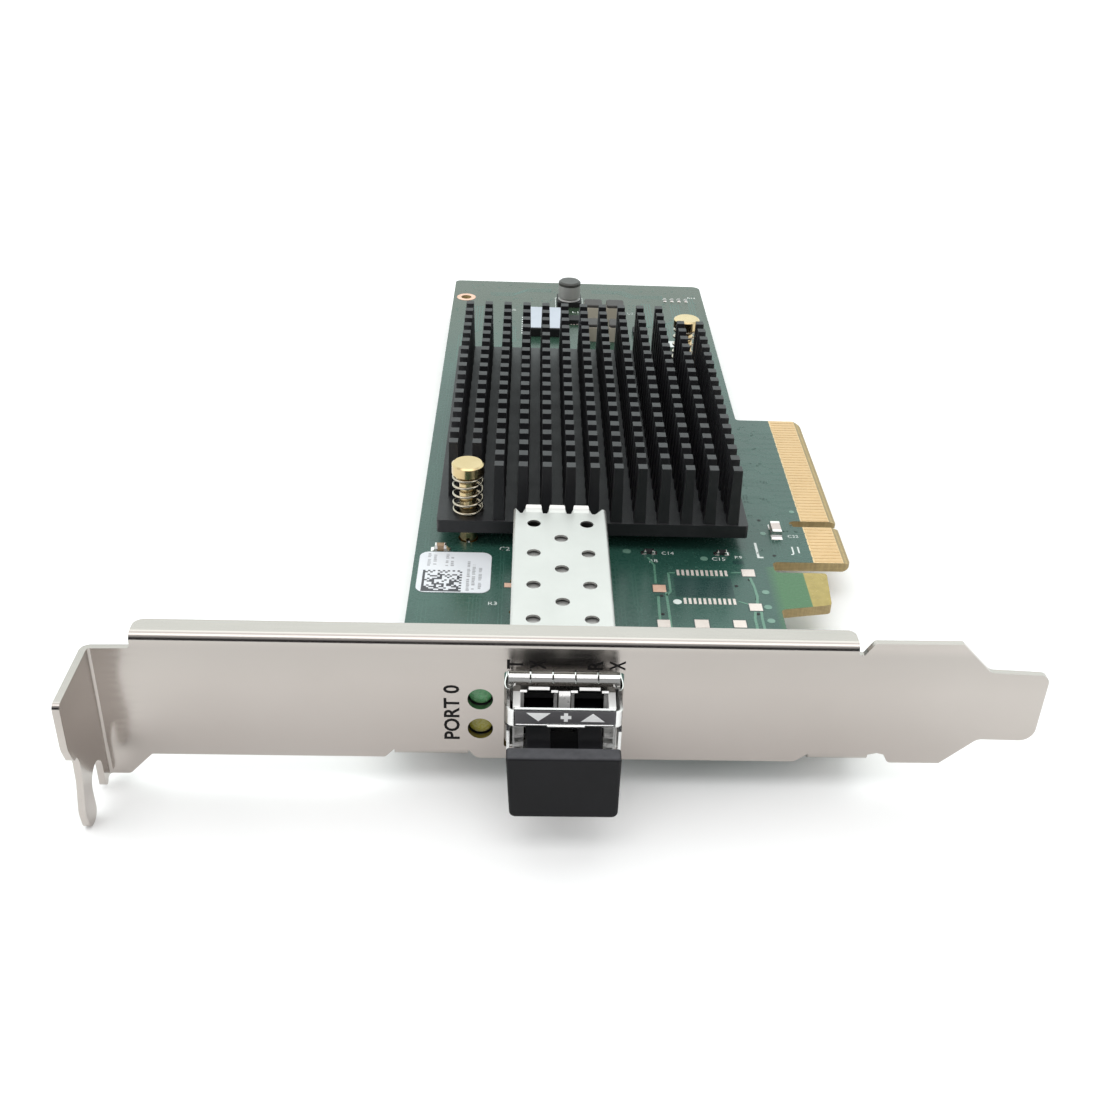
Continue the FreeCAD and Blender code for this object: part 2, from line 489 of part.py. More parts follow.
def bail():
    parts = []
    for k in (-1, 1):
        xi, xo = PORT_X + k * ARM_X, PORT_X + k * (ARM_X + BAIL_T)
        arm = prism([(-1.6, -5.75, 0.5), (-1.6, -8.6, 0.8), (-2.9, -11.0, 1.5), (-3.7, -15.0, 0.8), (-5.9, -15.0, 0.7),
                     (-6.0, -9.2, 0.5), (-5.4, -7.9, 0.5), (-5.4, -5.62, 0.4)], "x", min(xi, xo), max(xi, xo))
        parts.append(arm)
        # curved shoulder from the arm to the crossbar
        ri, ro = 0.5, 0.5 + BAIL_T
        cx, cy = PORT_X + k * (ARM_X - ri), BAR_Y1 + ri
        s = math.sqrt(0.5)
        e = [Part.Arc(V(cx, BAR_Y1, 0), V(cx + k * ri * s, cy - ri * s, 0), V(cx + k * ri, cy, 0)).toShape(),
             Part.makeLine(V(cx + k * ri, cy, 0), V(cx + k * ro, cy, 0)),
             Part.Arc(V(cx + k * ro, cy, 0), V(cx + k * ro * s, cy - ro * s, 0), V(cx, BAR_Y0, 0)).toShape(),
             Part.makeLine(V(cx, BAR_Y0, 0), V(cx, BAR_Y1, 0))]
        f = Part.Face(Part.Wire(e))
        f.translate(V(0, 0, BAR_Z0))
        parts.append(f.extrude(V(0, 0, BAR_Z1 - 0.35 - BAR_Z0)))
        parts.append(box(min(xi, xo), cy - 0.01, BAR_Z0, max(xi, xo), -4.4, BAR_Z1 - 0.35))
    w = ARM_X - 0.49
    bar = prism(rect(PORT_X - w, BAR_Z0, PORT_X + w, BAR_Z1, 0.12), "y", BAR_Y0, BAR_Y1)
    # rolled lower edge, deeper in the middle
    parts.append(prism([(BAR_Y0 + 0.1, BAR_Z0), (BAR_Y0 - 0.16, BAR_Z0, 0.1), (BAR_Y0 - 0.16, BAR_Z0 + 0.3, 0.15),
                        (BAR_Y0 + 0.1, BAR_Z0 + 0.42)], "x", PORT_X - 5.9, PORT_X + 5.9))
    parts.append(prism([(BAR_Y0 + 0.1, BAR_Z0 - 0.12), (BAR_Y0 - 0.34, BAR_Z0 - 0.12, 0.12), (BAR_Y0 - 0.34, BAR_Z0 + 0.22, 0.2),
                        (BAR_Y0 + 0.1, BAR_Z0 + 0.42)], "x", PORT_X - 2.1, PORT_X + 2.4))
    b = fuse(bar, *parts)
    return b.cut([cyl((PORT_X - 9, BAIL_Y, BAIL_Z), (1, 0, 0), 0.56, 18)])


put("bail", bail())
put("bail_label", prism(rect(PORT_X - 6.04, BAR_Z0 + 0.5, PORT_X + 6.15, BAR_Z1 - 0.22, 0.12), "y", BAR_Y0 - 0.06, BAR_Y0))


# --------------------------------------------------------------- dust plug
def dust_plug():
    blk = prism([(PORT_X - 6.5, -17.35, 0.8), (PORT_X + 6.65, -17.35, 0.8), (PORT_X + 6.7, -8.15, 0.4),
                 (PORT_X - 7.0, -8.15, 0.4)], "y", PLUG_Y, -10.45)
    blk = blk.makeFillet(0.35, [e for e in blk.Edges if near(e.BoundBox.YMin, PLUG_Y) and near(e.BoundBox.YMax, PLUG_Y)])
    parts = [blk]
    for k in (-1, 1):
        x = PORT_X + k * PORT_PITCH / 2
        parts.append(prism(rect(x - 1.55, -13.3, x + 1.55, -9.3, 0.35), "y", -10.5, -4.7))
        w = 1.6
        tip = prism(rect(x - w, -13.32, x + w, -9.25, 0.35), "y", -4.8, 1.6)
        parts.append(tip)
        parts.append(lathe_y([(0, 1.5), (1.6, 1.5), (1.6, 2.3), (1.1, 2.9), (0, 2.9)], x, AXIS_Z))
    # web between the prongs
    parts.append(box(PORT_X - 1.7, -10.5, -13.2, PORT_X + 1.7, -5.65, -9.4))
    return fuse(*parts)


put("dust_plug", dust_plug())


# ---------------------------------------------------------------- heat sink
def heat_sink():
    x0, x1, y0, y1 = SINK_X0, SINK_X1, SINK_Y0, SINK_Y1
    s = prism([(x0, y0, 0.5), (x1, y0, 0.5), (x1, y1, 0.5), (x0, y1, 0.5)], "z", SINK_BOT, SINK_TOP)
    tools = []
    xs = [PIN_X0 + PIN_PX * i for i in range(PIN_COLS)]
    ys = [PIN_Y0 + PIN_PY * j for j in range(PIN_ROWS)]
    zc0, zc1 = SINK_BASE_TOP, SINK_TOP + 1
    gx = [(x0 - 1, xs[0] - PIN_WX / 2)] + [(a + PIN_WX / 2, b - PIN_WX / 2) for a, b in zip(xs, xs[1:])] + \
         [(xs[-1] + PIN_WX / 2, x1 + 1)]
    gy = [(y0 - 1, ys[0] - PIN_WY / 2)] + [(a + PIN_WY / 2, b - PIN_WY / 2) for a, b in zip(ys, ys[1:])] + \
         [(ys[-1] + PIN_WY / 2, y1 + 1)]
    # one plane of channels each way, narrower at the root, leaves the pins standing on the base
    k = PIN_DRAFT

    def channel(a, b):
        return [(a + k, zc0), (b - k, zc0), (b, SINK_TOP), (b, zc1), (a, zc1), (a, SINK_TOP)]

    s = s.cut([prism(channel(a, b), "y", y0 - 1, y1 + 1) for a, b in gx])
    s = s.cut([prism(channel(a, b), "x", x0 - 1, x1 + 1) for a, b in gy])
    # clear corners and bores for the two spring pins
    s = s.cut([box(x0 - 1, y0 - 1, zc0, xs[1] + PIN_WX, ys[1] + PIN_WY, zc1),
               box(xs[-2] - PIN_WX, ys[-2] - PIN_WY, zc0, x1 + 1, y1 + 1, zc1)])
    s = s.cut([cyl((x, y, SINK_BOT - 1), (0, 0, 1), 1.75, 6) for x, y in PUSH])
    return s


put("heat_sink", heat_sink())


def push_pin(x, y):
    prof = [(0, -2.4), (2.2, -2.4), (2.5, -2.62), (2.5, -4.1), (1.85, -4.15), (1.85, -5.0), (1.35, -5.2),
            (1.35, -17.6), (1.75, -17.7), (1.75, -18.1), (0.9, -19.4), (0, -19.4)]
    p = lathe(prof, x, y)
    return p.cut(box(x - 0.25, y - 3, -20, x + 0.25, y + 3, -15.2))


def coil(x, y, z0, z1, r, wire, pitch, sides=8, steps=20):
    """Round-wire compression spring, its wire drawn as an even run of short facets."""
    h = z1 - z0 - wire
    # the first and last turn lie nearly flat
    end, rise = 0.85, 0.46
    turns = (h - 2 * rise) / pitch + 2 * end
    n = int(turns * steps)
    slope = math.atan2(pitch, 2 * math.pi * r)
    wires = []
    for i in range(n + 1):
        t = turns * i / n
        a = 2 * math.pi * t
        if t < end:
            cz = rise * t / end
        elif t > turns - end:
            cz = h - rise * (turns - t) / end
        else:
            cz = rise + (t - end) * pitch
        cz += z0 + wire / 2
        ca, sa = math.cos(a), math.sin(a)
        ring = []
        for k in range(sides):
            b = 2 * math.pi * (k + 0.5) / sides
            u, w = wire / 2 * math.cos(b), wire / 2 * math.sin(b)
            t = -w * math.sin(slope)
            ring.append(V(x + (r + u) * ca - t * sa, y + (r + u) * sa + t * ca, cz + w * math.cos(slope)))
        wires.append(Part.makePolygon(ring + [ring[0]]))
    return Part.makeLoft(wires, True, True)


put("push_pins", *[push_pin(x, y) for x, y in PUSH])
put("push_pin_springs", *[coil(x, y, SINK_BASE_TOP + 0.02, -4.18, 2.25, 0.42, 1.55) for x, y in PUSH])

# controller under the sink
CX, CY = 62.0, 84.0
put("controller_substrate", prism(rect(CX - 13.5, CY - 13.5, CX + 13.5, CY + 13.5, 0.5), "z", BOARD_TOP, -14.55))
put("controller_lid", prism(rect(CX - 11.0, CY - 11.0, CX + 11.0, CY + 11.0, 1.0), "z", -14.55, -13.45))
put("thermal_pad", prism(rect(CX - 10.0, CY - 10.0, CX + 10.0, CY + 10.0, 0.3), "z", -13.45, SINK_BOT))


# ------------------------------------------------------- indicator lamps
def led_block():
    b = prism(rect(LED_X - 2.3, 1.7, LED_X + 2.3, 8.2, 0.2), "z", BOARD_TOP, -6.9)
    return b.cut([cyl((LED_X, 1.0, z), (0, 1, 0), 1.5, 6.0) for z in (LED_ZG, LED_ZA)])


put("led_block", led_block())


def lens(z):
    # light pipe with a slightly domed end, close behind the sheet
    prof = [(0, 0.98), (0.8, 1.0), (1.25, 1.06), (1.45, 1.16), (1.5, 1.3), (1.5, 1.66), (1.42, 1.66), (1.42, 6.9), (0, 6.9)]
    return lathe_y(prof, LED_X, z)


put("led_green", lens(LED_ZG))
put("led_amber", lens(LED_ZA))
put("led_leads", *[box(LED_X + dx - 0.22, y - 0.22, BOARD_BOT - 1.0, LED_X + dx + 0.22, y + 0.22, BOARD_TOP)
                   for dx in (-1.27, 1.27) for y in (4.2, 6.7)])

# ------------------------------------------------------------------ sticker
put("sticker", prism(rect(37.6, 34.9, 48.75, 46.5, 1.5), "z", BOARD_TOP, BOARD_TOP + 0.1))


# ------------------------------------------------ board-mounted components
def chip(x, y, lx, ly, h, z=BOARD_TOP, up=1, r=0.12):
    a, b = (z, z + h) if up > 0 else (z - h, z)
    return prism(rect(x - lx / 2, y - ly / 2, x + lx / 2, y + ly / 2, r), "z", a, b)


def soic(x, y, lx, ly, h, n, pitch, rot=False):
    """Moulded package body with a row of gull-wing leads on two sides."""
    b = prism(rect(x - lx / 2, y - ly / 2, x + lx / 2, y + ly / 2, 0.15), "z", BOARD_TOP + 0.12, BOARD_TOP + h)
    leads = []
    for i in range(n):
        u = (i - (n - 1) / 2) * pitch
        for k in (-1, 1):
            if rot:
                leads.append(box(x + u - 0.2, min(y + k * (ly / 2 - 0.1), y + k * (ly / 2 + 0.9)), BOARD_TOP,
                                 x + u + 0.2, max(y + k * (ly / 2 - 0.1), y + k * (ly / 2 + 0.9)), BOARD_TOP + 0.3))
            else:
                leads.append(box(min(x + k * (lx / 2 - 0.1), x + k * (lx / 2 + 0.9)), y + u - 0.2, BOARD_TOP,
                                 max(x + k * (lx / 2 - 0.1), x + k * (lx / 2 + 0.9)), y + u + 0.2, BOARD_TOP + 0.3))
    return fuse(b, *leads)


# ceramic capacitors (1206, 0603 and 0402)
caps = [chip(94.7, 54.8, 1.6, 3.4, 1.2)]
caps += [chip(x, y, 1.6, 0.85, 0.6, r=0.06) for x, y in ((73.5, 47.55), (85.1, 47.65))]
caps += [chip(40.7, 47.4, 1.8, 1.0, 1.0, r=0.08)]
caps += [chip(x, y, 1.6, 0.85, 0.85, r=0.08) for x in (54.6, 58.4, 77.2, 81.4) for y in (123.2, 126.4)]
put("ceramic_capacitors", *caps)
# chip resistors
res = [chip(41.0 + 2.1 * i, 124.6, 0.55, 1.0, 0.35, r=0.05) for i in range(5)]
res += [chip(84.6 + 1.6 * i, 158.8, 0.55, 1.0, 0.35, r=0.05) for i in range(4)]
put("chip_resistors", *res)
# power section behind the sink
put("power_inductors", *[chip(x, y, 3.9, 3.9, 3.8, r=0.5) for x, y in
                         ((67.75, 146.6), (72.5, 146.6), (67.85, 135.4), (72.6, 135.4))])
put("switching_regulators", chip(64.0, 144.4, 3.0, 3.0, 0.95, r=0.15), chip(77.6, 138.6, 3.0, 3.0, 0.95, r=0.15))


def can(x, y):
    prof = [(0, -10.6), (2.1, -10.6), (2.45, -10.9), (2.45, -14.2), (2.2, -14.45), (2.45, -14.75), (0, -14.75)]
    return lathe(prof, x, y)


put("bulk_capacitor", can(62.7, 155.5))
put("bulk_capacitor_seat", prism([(60.0, 152.8, 0.6), (65.4, 152.8, 0.6), (65.4, 158.2, 0.2), (60.0, 158.2, 0.2)],
                                 "z", BOARD_TOP, -14.75))
put("flash_memory", soic(57.2, 141.6, 7.5, 12.6, 1.9, 8, 1.27))
put("memory_label", prism(rect(53.75, 135.6, 60.65, 147.5, 0.3), "z", BOARD_TOP + 1.9, BOARD_TOP + 1.98))
put("clock_oscillator", chip(83.6, 130.6, 5.0, 3.2, 1.1, r=0.4))
# parts on the solder side
low = [chip(CX - 9 + 3.0 * i, CY - 9 + 4.5 * j, 1.0, 0.55, 0.5, z=BOARD_BOT, up=-1, r=0.06)
       for i in range(7) for j in range(5)]
low += [chip(x, y, 1.6, 0.85, 0.8, z=BOARD_BOT, up=-1, r=0.08) for x in (56.0, 62.0, 68.0, 74.0)
        for y in (134.0, 141.0, 148.0)]
put("underside_capacitors", *low)

# ------------------------------------------------------------------- export
os.makedirs("parts", exist_ok=True)
for name, solids in PIECES.items():
    solids = [s.copy() for s in solids]
    for s in solids:
        s.translate(V(-ORIGIN[0], -ORIGIN[1], -ORIGIN[2]))
    shape = solids[0] if len(solids) == 1 else Part.makeCompound(solids)
    ok = shape.isValid() and all(s.Volume > 0 for s in solids)
    b = shape.BoundBox
    print("%-26s solids %3d vol %9.2f %s  x %.2f..%.2f y %.2f..%.2f z %.2f..%.2f" % (
        name, len(solids), sum(s.Volume for s in solids), "ok" if ok else "BAD",
        b.XMin, b.XMax, b.YMin, b.YMax, b.ZMin, b.ZMax))
    shape.exportStep("parts/%s.step" % name)
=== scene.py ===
import math
import random

import bmesh
import bpy
from mathutils import Matrix, Vector


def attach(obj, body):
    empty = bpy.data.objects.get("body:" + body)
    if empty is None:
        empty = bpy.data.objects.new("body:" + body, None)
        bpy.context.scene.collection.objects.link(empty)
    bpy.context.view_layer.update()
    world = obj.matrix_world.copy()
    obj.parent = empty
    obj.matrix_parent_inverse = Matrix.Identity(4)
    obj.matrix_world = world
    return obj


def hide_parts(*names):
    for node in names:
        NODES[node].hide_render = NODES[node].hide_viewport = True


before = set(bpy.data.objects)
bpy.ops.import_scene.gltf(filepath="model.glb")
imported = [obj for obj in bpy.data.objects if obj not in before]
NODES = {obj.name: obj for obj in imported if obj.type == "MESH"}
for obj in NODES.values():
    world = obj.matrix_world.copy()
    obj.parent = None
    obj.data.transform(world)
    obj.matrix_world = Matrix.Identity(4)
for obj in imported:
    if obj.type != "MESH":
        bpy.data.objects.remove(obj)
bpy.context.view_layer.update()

# ------------------------------------------------------------------ drawing frame
# Millimetres as the part is drawn: X along the bracket, Y back from its front
# face, Z up from the flange.  put() shifts to the card-edge datum, in metres.
ORG = (105.45, 57.65, -16.645)
TOP = -15.86
BOT = -17.43
PORT = 59.1


def put(p):
    return Vector(((p[0] - ORG[0]) * 0.001, (p[1] - ORG[1]) * 0.001, (p[2] - ORG[2]) * 0.001))


def on_top(u, v, w):
    return (u, v, TOP + w)


def on_bottom(u, v, w):
    return (u, v, BOT - w)


def on_plate(u, v, w):
    return (u, -w, v)


# ---------------------------------------------------------------------- materials
MATS = {}


def new_mat(name):
    m = bpy.data.materials.new(name)
    m.use_nodes = True
    nt = m.node_tree
    b = next(n for n in nt.nodes if n.type == "BSDF_PRINCIPLED")
    MATS[name] = m
    return m, nt, b


def link(nt, a, b):
    nt.links.new(a, b)


def coords(nt, scale=(1, 1, 1)):
    t = nt.nodes.new("ShaderNodeTexCoord")
    mp = nt.nodes.new("ShaderNodeMapping")
    mp.inputs["Scale"].default_value = scale
    link(nt, t.outputs["Object"], mp.inputs["Vector"])
    return mp.outputs["Vector"]


def noise(nt, vec, scale, detail=3.0, rough=0.5, distort=0.0):
    n = nt.nodes.new("ShaderNodeTexNoise")
    n.inputs["Scale"].default_value = scale
    n.inputs["Detail"].default_value = detail
    n.inputs["Roughness"].default_value = rough
    n.inputs["Distortion"].default_value = distort
    link(nt, vec, n.inputs["Vector"])
    return n.outputs["Fac"]


def spread(nt, val, a, b, lo=0.3, hi=0.7):
    n = nt.nodes.new("ShaderNodeMapRange")
    n.inputs["From Min"].default_value = lo
    n.inputs["From Max"].default_value = hi
    n.inputs["To Min"].default_value = a
    n.inputs["To Max"].default_value = b
    link(nt, val, n.inputs["Value"])
    return n.outputs["Result"]


def tint(nt, fac, c1, c2, lo=0.3, hi=0.7):
    n = nt.nodes.new("ShaderNodeValToRGB")
    n.color_ramp.elements[0].position = lo
    n.color_ramp.elements[0].color = (*c1, 1)
    n.color_ramp.elements[1].position = hi
    n.color_ramp.elements[1].color = (*c2, 1)
    link(nt, fac, n.inputs["Fac"])
    return n.outputs["Color"]


def mixc(nt, fac, a, b):
    n = nt.nodes.new("ShaderNodeMix")
    n.data_type = "RGBA"
    link(nt, fac, n.inputs[0])
    for k, v in ((6, a), (7, b)):
        if isinstance(v, tuple):
            n.inputs[k].default_value = (*v, 1)
        else:
            link(nt, v, n.inputs[k])
    return n.outputs[2]


def math2(nt, op, a, b=None):
    n = nt.nodes.new("ShaderNodeMath")
    n.operation = op
    for k, v in ((0, a), (1, b)):
        if v is None:
            continue
        if isinstance(v, (int, float)):
            n.inputs[k].default_value = v
        else:
            link(nt, v, n.inputs[k])
    return n.outputs[0]


def bump(nt, height, strength, dist, normal=None):
    n = nt.nodes.new("ShaderNodeBump")
    n.inputs["Strength"].default_value = strength
    n.inputs["Distance"].default_value = dist
    link(nt, height, n.inputs["Height"])
    if normal is not None:
        link(nt, normal, n.inputs["Normal"])
    return n.outputs["Normal"]


def metal(name, dark, light, r0, r1, grain=(1, 1, 1), gscale=2500.0, gbump=0.1, wave=0.0, wscale=40.0, blotch=60.0, metallic=1.0):
    m, nt, b = new_mat(name)
    b.inputs["Metallic"].default_value = metallic
    base = coords(nt)
    big = noise(nt, base, blotch, 4.0, 0.55)
    link(nt, tint(nt, big, dark, light), b.inputs["Base Color"])
    g = noise(nt, coords(nt, grain), gscale, 3.0, 0.6)
    mix = math2(nt, "ADD", math2(nt, "MULTIPLY", g, 0.6), math2(nt, "MULTIPLY", big, 0.4))
    link(nt, spread(nt, mix, r0, r1, 0.35, 0.65), b.inputs["Roughness"])
    n = None
    if wave > 0:
        n = bump(nt, noise(nt, base, wscale, 1.5, 0.4), wave, 0.0006)
    if gbump > 0:
        n = bump(nt, g, gbump, 0.000012, n)
    if n is not None:
        link(nt, n, b.inputs["Normal"])
    return m


def plastic(name, c1, c2, r0, r1, gscale=4000.0, gbump=0.2, gdist=0.00002, blotch=150.0, spec=0.5, coat=0.0, painted_top_light=None):
    m, nt, b = new_mat(name)
    base = coords(nt)
    big = noise(nt, base, blotch, 3.0)
    col = tint(nt, big, c1, c2)
    if painted_top_light is not None:
        # painted light: faces that look up are painted lighter, with a little noise, standing in for the light from
        # above
        t = nt.nodes.new("ShaderNodeTexCoord")
        sep = nt.nodes.new("ShaderNodeSeparateXYZ")
        link(nt, t.outputs["Normal"], sep.inputs[0])
        top_light_mask = math2(nt, "MULTIPLY", spread(nt, sep.outputs["Z"], 0.0, 1.0, 0.35, 0.95), spread(nt, noise(nt, base, 900, 4.0), 0.7, 1.0))
        # only on the part in front of y = -67.9 mm
        far = nt.nodes.new("ShaderNodeSeparateXYZ")
        link(nt, t.outputs["Object"], far.inputs[0])
        top_light_mask = math2(nt, "MULTIPLY", top_light_mask, math2(nt, "LESS_THAN", far.outputs["Y"], -0.0679))
        col = mixc(nt, top_light_mask, col, painted_top_light)
    link(nt, col, b.inputs["Base Color"])
    g = noise(nt, base, gscale, 2.0, 0.6)
    link(nt, spread(nt, math2(nt, "ADD", math2(nt, "MULTIPLY", g, 0.5), math2(nt, "MULTIPLY", big, 0.5)), r0, r1, 0.35, 0.65),
         b.inputs["Roughness"])
    b.inputs["Specular IOR Level"].default_value = spec
    if coat:
        b.inputs["Coat Weight"].default_value = coat
        b.inputs["Coat Roughness"].default_value = 0.12
    if gbump:
        link(nt, bump(nt, g, gbump, gdist), b.inputs["Normal"])
    return m


metal("nickel_sheet", (0.46, 0.42, 0.391), (0.51, 0.47, 0.442), 0.14, 0.21, grain=(0.06, 1, 1), gscale=1800, gbump=0.05,
      wave=0.05, wscale=28, blotch=26)


def painted_reflection_band():
    # painted reflection: the plate is painted a little darker just below its bend, standing in for the darker
    # surroundings mirrored there
    m = MATS["nickel_sheet"]
    nt = m.node_tree
    b = next(n for n in nt.nodes if n.type == "BSDF_PRINCIPLED")
    src = b.inputs["Base Color"].links[0].from_socket
    sep = nt.nodes.new("ShaderNodeSeparateXYZ")
    link(nt, coords(nt), sep.inputs[0])
    z = sep.outputs["Z"]
    band = math2(nt, "MULTIPLY", spread(nt, z, 0.0, 0.34, 0.0098, 0.0146), spread(nt, z, 1.0, 0.0, 0.0152, 0.0162))
    link(nt, mixc(nt, band, src, (0.36, 0.335, 0.315)), b.inputs["Base Color"])


painted_reflection_band()
metal("tin_sheet", (0.52, 0.515, 0.495), (0.58, 0.575, 0.555), 0.30, 0.42, gscale=3500, gbump=0.1, wave=0.03, wscale=60, blotch=90,
      metallic=0.85)
metal("cover_sheet", (0.40, 0.395, 0.38), (0.48, 0.475, 0.46), 0.28, 0.38, gscale=3000, gbump=0.1, blotch=120, metallic=0.35)
metal("spring_sheet", (0.78, 0.775, 0.75), (0.88, 0.875, 0.85), 0.16, 0.24, grain=(1, 0.1, 1), gscale=3000, gbump=0.05)
metal("die_cast", (0.66, 0.655, 0.64), (0.75, 0.745, 0.73), 0.26, 0.38, gscale=2600, gbump=0.2, blotch=240, metallic=0.4)
# painted shade: a darker copy of die_cast for the cast faces that lie in shade
metal("die_cast_painted_shade", (0.19, 0.178, 0.162), (0.26, 0.246, 0.228), 0.22, 0.32, gscale=2600, gbump=0.2, blotch=240)
metal("bail_sheet", (0.74, 0.74, 0.73), (0.84, 0.84, 0.83), 0.14, 0.24, grain=(0.15, 1, 1), gscale=2600, gbump=0.06, blotch=160)
metal("screw_steel", (0.55, 0.55, 0.54), (0.68, 0.68, 0.67), 0.22, 0.34, gscale=2500, gbump=0.1)
metal("barrel_steel", (0.60, 0.60, 0.60), (0.70, 0.70, 0.70), 0.20, 0.30, gscale=2500, gbump=0.08)
metal("nickel_lid", (0.60, 0.60, 0.59), (0.70, 0.70, 0.69), 0.28, 0.38, gscale=2500, gbump=0.08)
metal("chip_ends", (0.80, 0.76, 0.73), (0.90, 0.87, 0.85), 0.22, 0.34, gscale=1800, gbump=0.15, blotch=700)
metal("solder", (0.66, 0.66, 0.655), (0.80, 0.80, 0.795), 0.20, 0.34, gscale=1800, gbump=0.15, blotch=700)
metal("gold_plate", (0.585, 0.388, 0.20), (0.645, 0.443, 0.241), 0.26, 0.38, grain=(0.08, 1, 1), gscale=2600, gbump=0.08, blotch=140,
      metallic=0.9)
metal("copper_pad", (0.74, 0.45, 0.33), (0.84, 0.56, 0.43), 0.34, 0.46, gscale=2500, gbump=0.12, blotch=400, metallic=0.5)
metal("tinned_pad", (0.66, 0.57, 0.52), (0.74, 0.67, 0.62), 0.34, 0.46, gscale=2500, gbump=0.12, blotch=400, metallic=0.4)
metal("brass", (0.56, 0.425, 0.226), (0.64, 0.505, 0.289), 0.16, 0.27, grain=(1, 1, 9), gscale=1500, gbump=0.12, blotch=300)
# painted reflection: the spring wire is given a warm tint, standing in for the brass of the pin mirrored in it
metal("spring_wire", (0.40, 0.355, 0.28), (0.50, 0.455, 0.37), 0.16, 0.26, gscale=2600, gbump=0.06)
metal("can_sleeve", (0.30, 0.30, 0.29), (0.40, 0.40, 0.385), 0.32, 0.45, gscale=2600, gbump=0.08, metallic=0.3)


def can_painted_shade_band():
    # painted shade: the can is painted near-black round its top, standing in for the shade round its crimped top
    m = MATS["can_sleeve"]
    nt = m.node_tree
    b = next(n for n in nt.nodes if n.type == "BSDF_PRINCIPLED")
    src = b.inputs["Base Color"].links[0].from_socket
    sep = nt.nodes.new("ShaderNodeSeparateXYZ")
    link(nt, coords(nt), sep.inputs[0])
    link(nt, mixc(nt, math2(nt, "GREATER_THAN", sep.outputs["Z"], CAN_SHADE_Z), src, (0.055, 0.055, 0.05)), b.inputs["Base Color"])


CAN_SHADE_Z = 0.0052
can_painted_shade_band()


def collar_painted_shade():
    # painted shade: the rolled collar is painted darker on the faces that do not look up
    m = MATS["spring_sheet"]
    nt = m.node_tree
    b = next(n for n in nt.nodes if n.type == "BSDF_PRINCIPLED")
    src = b.inputs["Base Color"].links[0].from_socket
    tc = nt.nodes.new("ShaderNodeTexCoord")
    sep = nt.nodes.new("ShaderNodeSeparateXYZ")
    link(nt, tc.outputs["Normal"], sep.inputs[0])
    low = spread(nt, sep.outputs["Z"], 0.85, 0.0, 0.05, 0.6)
    link(nt, mixc(nt, low, src, (0.15, 0.14, 0.125)), b.inputs["Base Color"])


collar_painted_shade()

plastic("black_resin", (0.007, 0.007, 0.0075), (0.012, 0.012, 0.0125), 0.46, 0.60, spec=0.35)
# painted light: the plug's faces that look up are painted lighter
plastic("plug_resin", (0.0035, 0.0035, 0.0045), (0.0065, 0.0065, 0.008), 0.38, 0.52, gscale=2600, gbump=0.16, spec=0.18,
        painted_top_light=(0.062, 0.061, 0.067))
# painted shade: near-black, low-gloss resin for the floor between the plug's prongs
plastic("plug_gap_painted_shade", (0.0008, 0.0008, 0.001), (0.0014, 0.0014, 0.0018), 0.5, 0.65, gscale=2600, gbump=0.16, spec=0.05)
plastic("black_anodised", (0.0075, 0.0075, 0.009), (0.0125, 0.0125, 0.0145), 0.40, 0.56, gscale=5200, gbump=0.25, gdist=0.000016)
plastic("black_film", (0.092, 0.089, 0.094), (0.118, 0.115, 0.121), 0.30, 0.42, gscale=3000, gbump=0.05)
plastic("module_mask", (0.012, 0.06, 0.035), (0.02, 0.085, 0.05), 0.26, 0.38)
plastic("gap_pad", (0.24, 0.245, 0.26), (0.32, 0.325, 0.34), 0.7, 0.85)
plastic("tan_ceramic", (0.27, 0.175, 0.10), (0.36, 0.245, 0.15), 0.45, 0.6, gscale=5000)
plastic("dark_ceramic", (0.018, 0.018, 0.02), (0.03, 0.03, 0.032), 0.35, 0.5)
plastic("white_ceramic", (0.70, 0.69, 0.66), (0.80, 0.79, 0.77), 0.45, 0.6)
plastic("ferrite", (0.035, 0.032, 0.03), (0.055, 0.05, 0.046), 0.5, 0.66, gscale=2200, gbump=0.35)
plastic("ferrite_side", (0.38, 0.34, 0.275), (0.50, 0.455, 0.375), 0.45, 0.6, gscale=2200, gbump=0.3)
plastic("silk_ink", (0.62, 0.66, 0.63), (0.74, 0.78, 0.75), 0.5, 0.65)
plastic("white_ink", (0.92, 0.92, 0.92), (0.97, 0.97, 0.97), 0.45, 0.55)
plastic("black_ink", (0.004, 0.0035, 0.0035), (0.007, 0.006, 0.006), 0.5, 0.65, spec=0.15)
plastic("grey_ink", (0.34, 0.34, 0.36), (0.42, 0.42, 0.44), 0.5, 0.6)
plastic("dark_ink", (0.045, 0.047, 0.055), (0.07, 0.072, 0.08), 0.5, 0.6)
plastic("label_paper", (0.68, 0.70, 0.735), (0.74, 0.76, 0.785), 0.45, 0.6, gscale=2500, gbump=0.08)
plastic("chip_label", (0.42, 0.46, 0.52), (0.50, 0.54, 0.60), 0.45, 0.6, gscale=2500, gbump=0.08)
plastic("trace_mask", (0.085, 0.21, 0.145), (0.11, 0.25, 0.175), 0.24, 0.34, gbump=0.06)
plastic("dark_mask", (0.008, 0.040, 0.034), (0.013, 0.052, 0.044), 0.24, 0.34, gbump=0.06)
plastic("via_mask", (0.12, 0.24, 0.185), (0.16, 0.29, 0.225), 0.28, 0.4, gbump=0.06)
plastic("faint_mask", (0.027, 0.088, 0.066), (0.035, 0.106, 0.081), 0.24, 0.34, gbump=0.06)
plastic("pale_ceramic", (0.62, 0.54, 0.50), (0.74, 0.66, 0.62), 0.45, 0.6, gscale=3000)
# painted shade: near-black for the inside of holes drawn as discs
plastic("hole_painted_shade", (0.004, 0.004, 0.004), (0.008, 0.008, 0.008), 0.6, 0.8)


